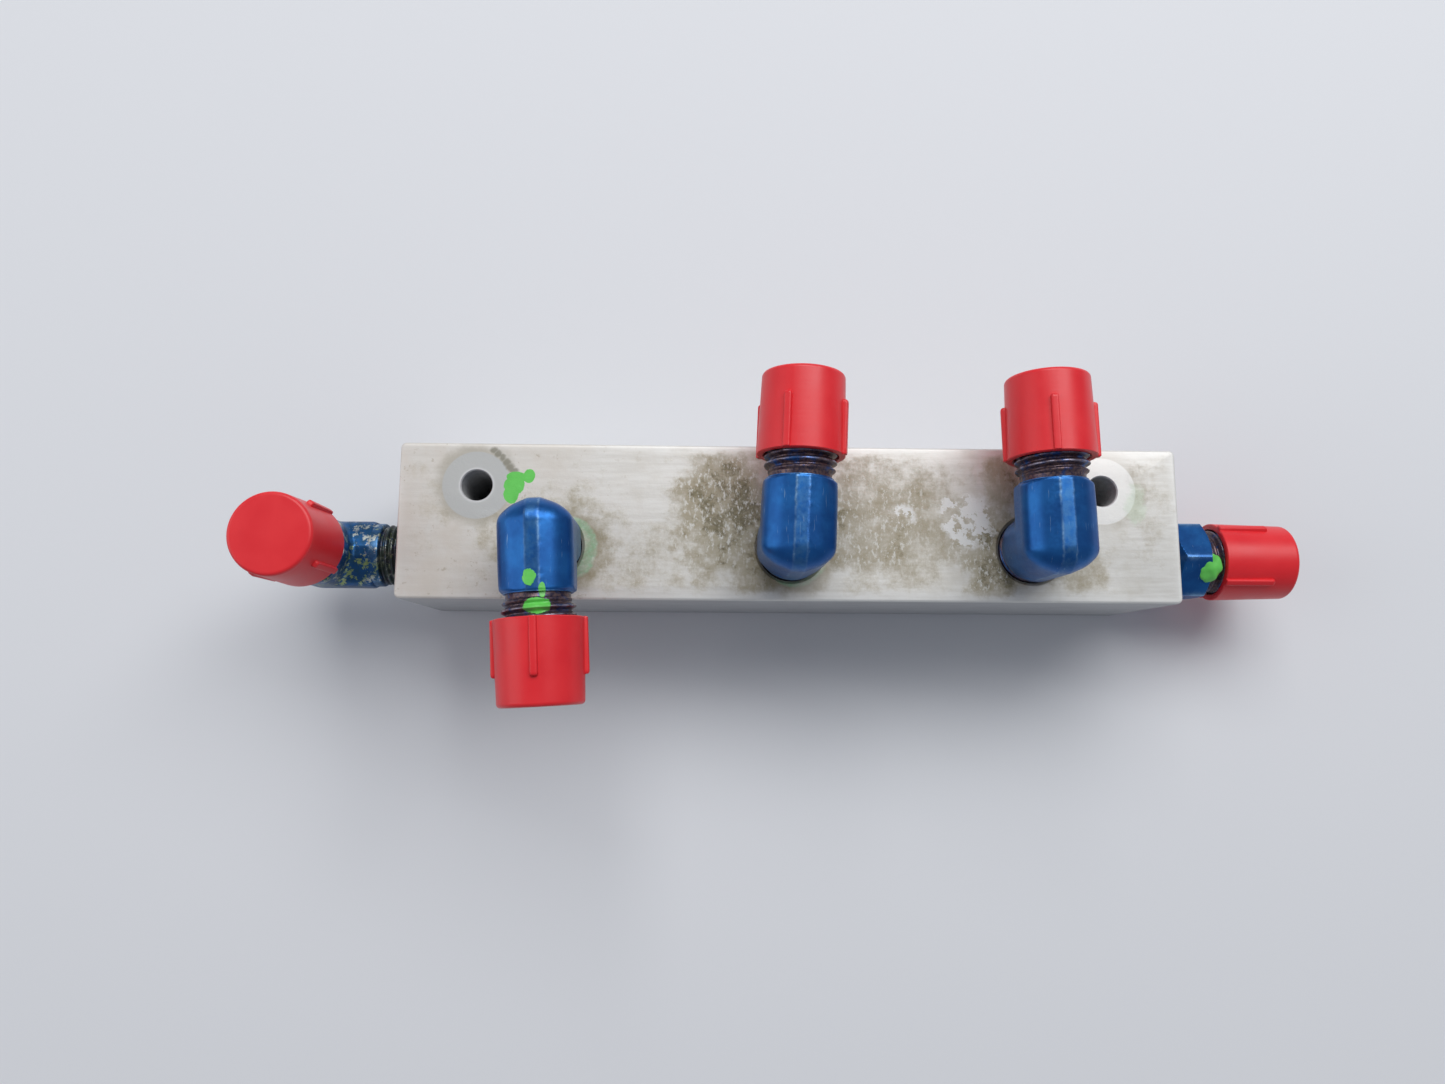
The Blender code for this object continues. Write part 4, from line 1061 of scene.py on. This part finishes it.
def make_springs(stainless):
    """The two springs, each a coil that fills its CAD node's box and rides on the manifold."""
    for node, (joint, turns, keep) in SPRINGS.items():
        low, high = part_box(node)
        mesh = spring_mesh(f"{node}_wire", low, high, turns)
        piece = add_piece(f"{node}_wire", mesh, stainless, "manifold", node)
        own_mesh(piece)


def make_inner_parts():
    """The pieces inside the bar keep their CAD shapes, apart from the springs."""
    steel = colour(0.38, 0.38, 0.39), colour(0.48, 0.48, 0.49)
    stainless = colour(0.52, 0.52, 0.53), colour(0.66, 0.66, 0.67)
    brass = colour(0.62, 0.42, 0.13), colour(0.78, 0.56, 0.22)
    finishes = {
        "steel": metal_material("ground_steel", *steel, 0.24),
        "stainless": metal_material("stainless_steel", *stainless, 0.2),
        "brass": metal_material("turned_brass", *brass, 0.22),
        "seal_rubber": rubber_material(),
    }
    slots = {row["node"]: row["material_slot"] for row in frame["record"]["subparts"]}
    for name, node in frame["nodes"].items():
        if slots[name] in finishes:
            node.data.materials.clear()
            node.data.materials.append(finishes[slots[name]])
    make_springs(finishes["stainless"])


# ---------------------------------------------------------------- stage


def make_camera():
    camera = bpy.data.objects.new("camera", bpy.data.cameras.new("camera"))
    bpy.context.scene.collection.objects.link(camera)
    camera.data.lens = CAMERA_LENS
    camera.data.sensor_width = CAMERA_SENSOR
    camera.data.clip_start = CAMERA_NEAR
    camera.location = CAMERA_PLACE
    camera.rotation_euler = [math.radians(angle) for angle in CAMERA_DEGREES]
    bpy.context.scene.camera = camera


def make_light(name, location, size, power):
    lamp = bpy.data.lights.new(name, "AREA")
    lamp.shape = "RECTANGLE"
    lamp.size, lamp.size_y = size
    lamp.energy = power
    light = bpy.data.objects.new(name, lamp)
    bpy.context.scene.collection.objects.link(light)
    light.location = location
    aim = Vector(LIGHT_TARGET) - light.location
    light.rotation_euler = aim.to_track_quat("-Z", "Y").to_euler()


def make_stage():
    shape = bmesh.new()
    bmesh.ops.create_grid(shape, x_segments=1, y_segments=1, size=FLOOR_REACH)
    mesh = bpy.data.meshes.new("floor")
    shape.to_mesh(mesh)
    shape.free()
    floor = bpy.data.objects.new("floor", mesh)
    bpy.context.scene.collection.objects.link(floor)
    s = Shader("pale_floor")
    mesh.materials.append(s.finish(Base_Color=colour(0.74, 0.75, 0.77), Roughness=0.8))
    world = bpy.data.worlds.new("studio")
    bpy.context.scene.world = world
    world.use_nodes = True
    background = world.node_tree.nodes["Background"]
    background.inputs["Color"].default_value = colour(0.80, 0.86, 1.0)
    background.inputs["Strength"].default_value = SKY_STRENGTH
    make_light("overhead", (0.16, 0.46, 0.68), (0.9, 0.45), 6.0)
    make_light("left", (-0.6, 0.05, 0.35), (0.4, 0.5), 0.9)
    bpy.context.scene.view_settings.view_transform = "Standard"


make_camera()
make_stage()
make_bar(bar_material())
make_fittings(blue_material())
make_caps(red_material())
make_inner_parts()
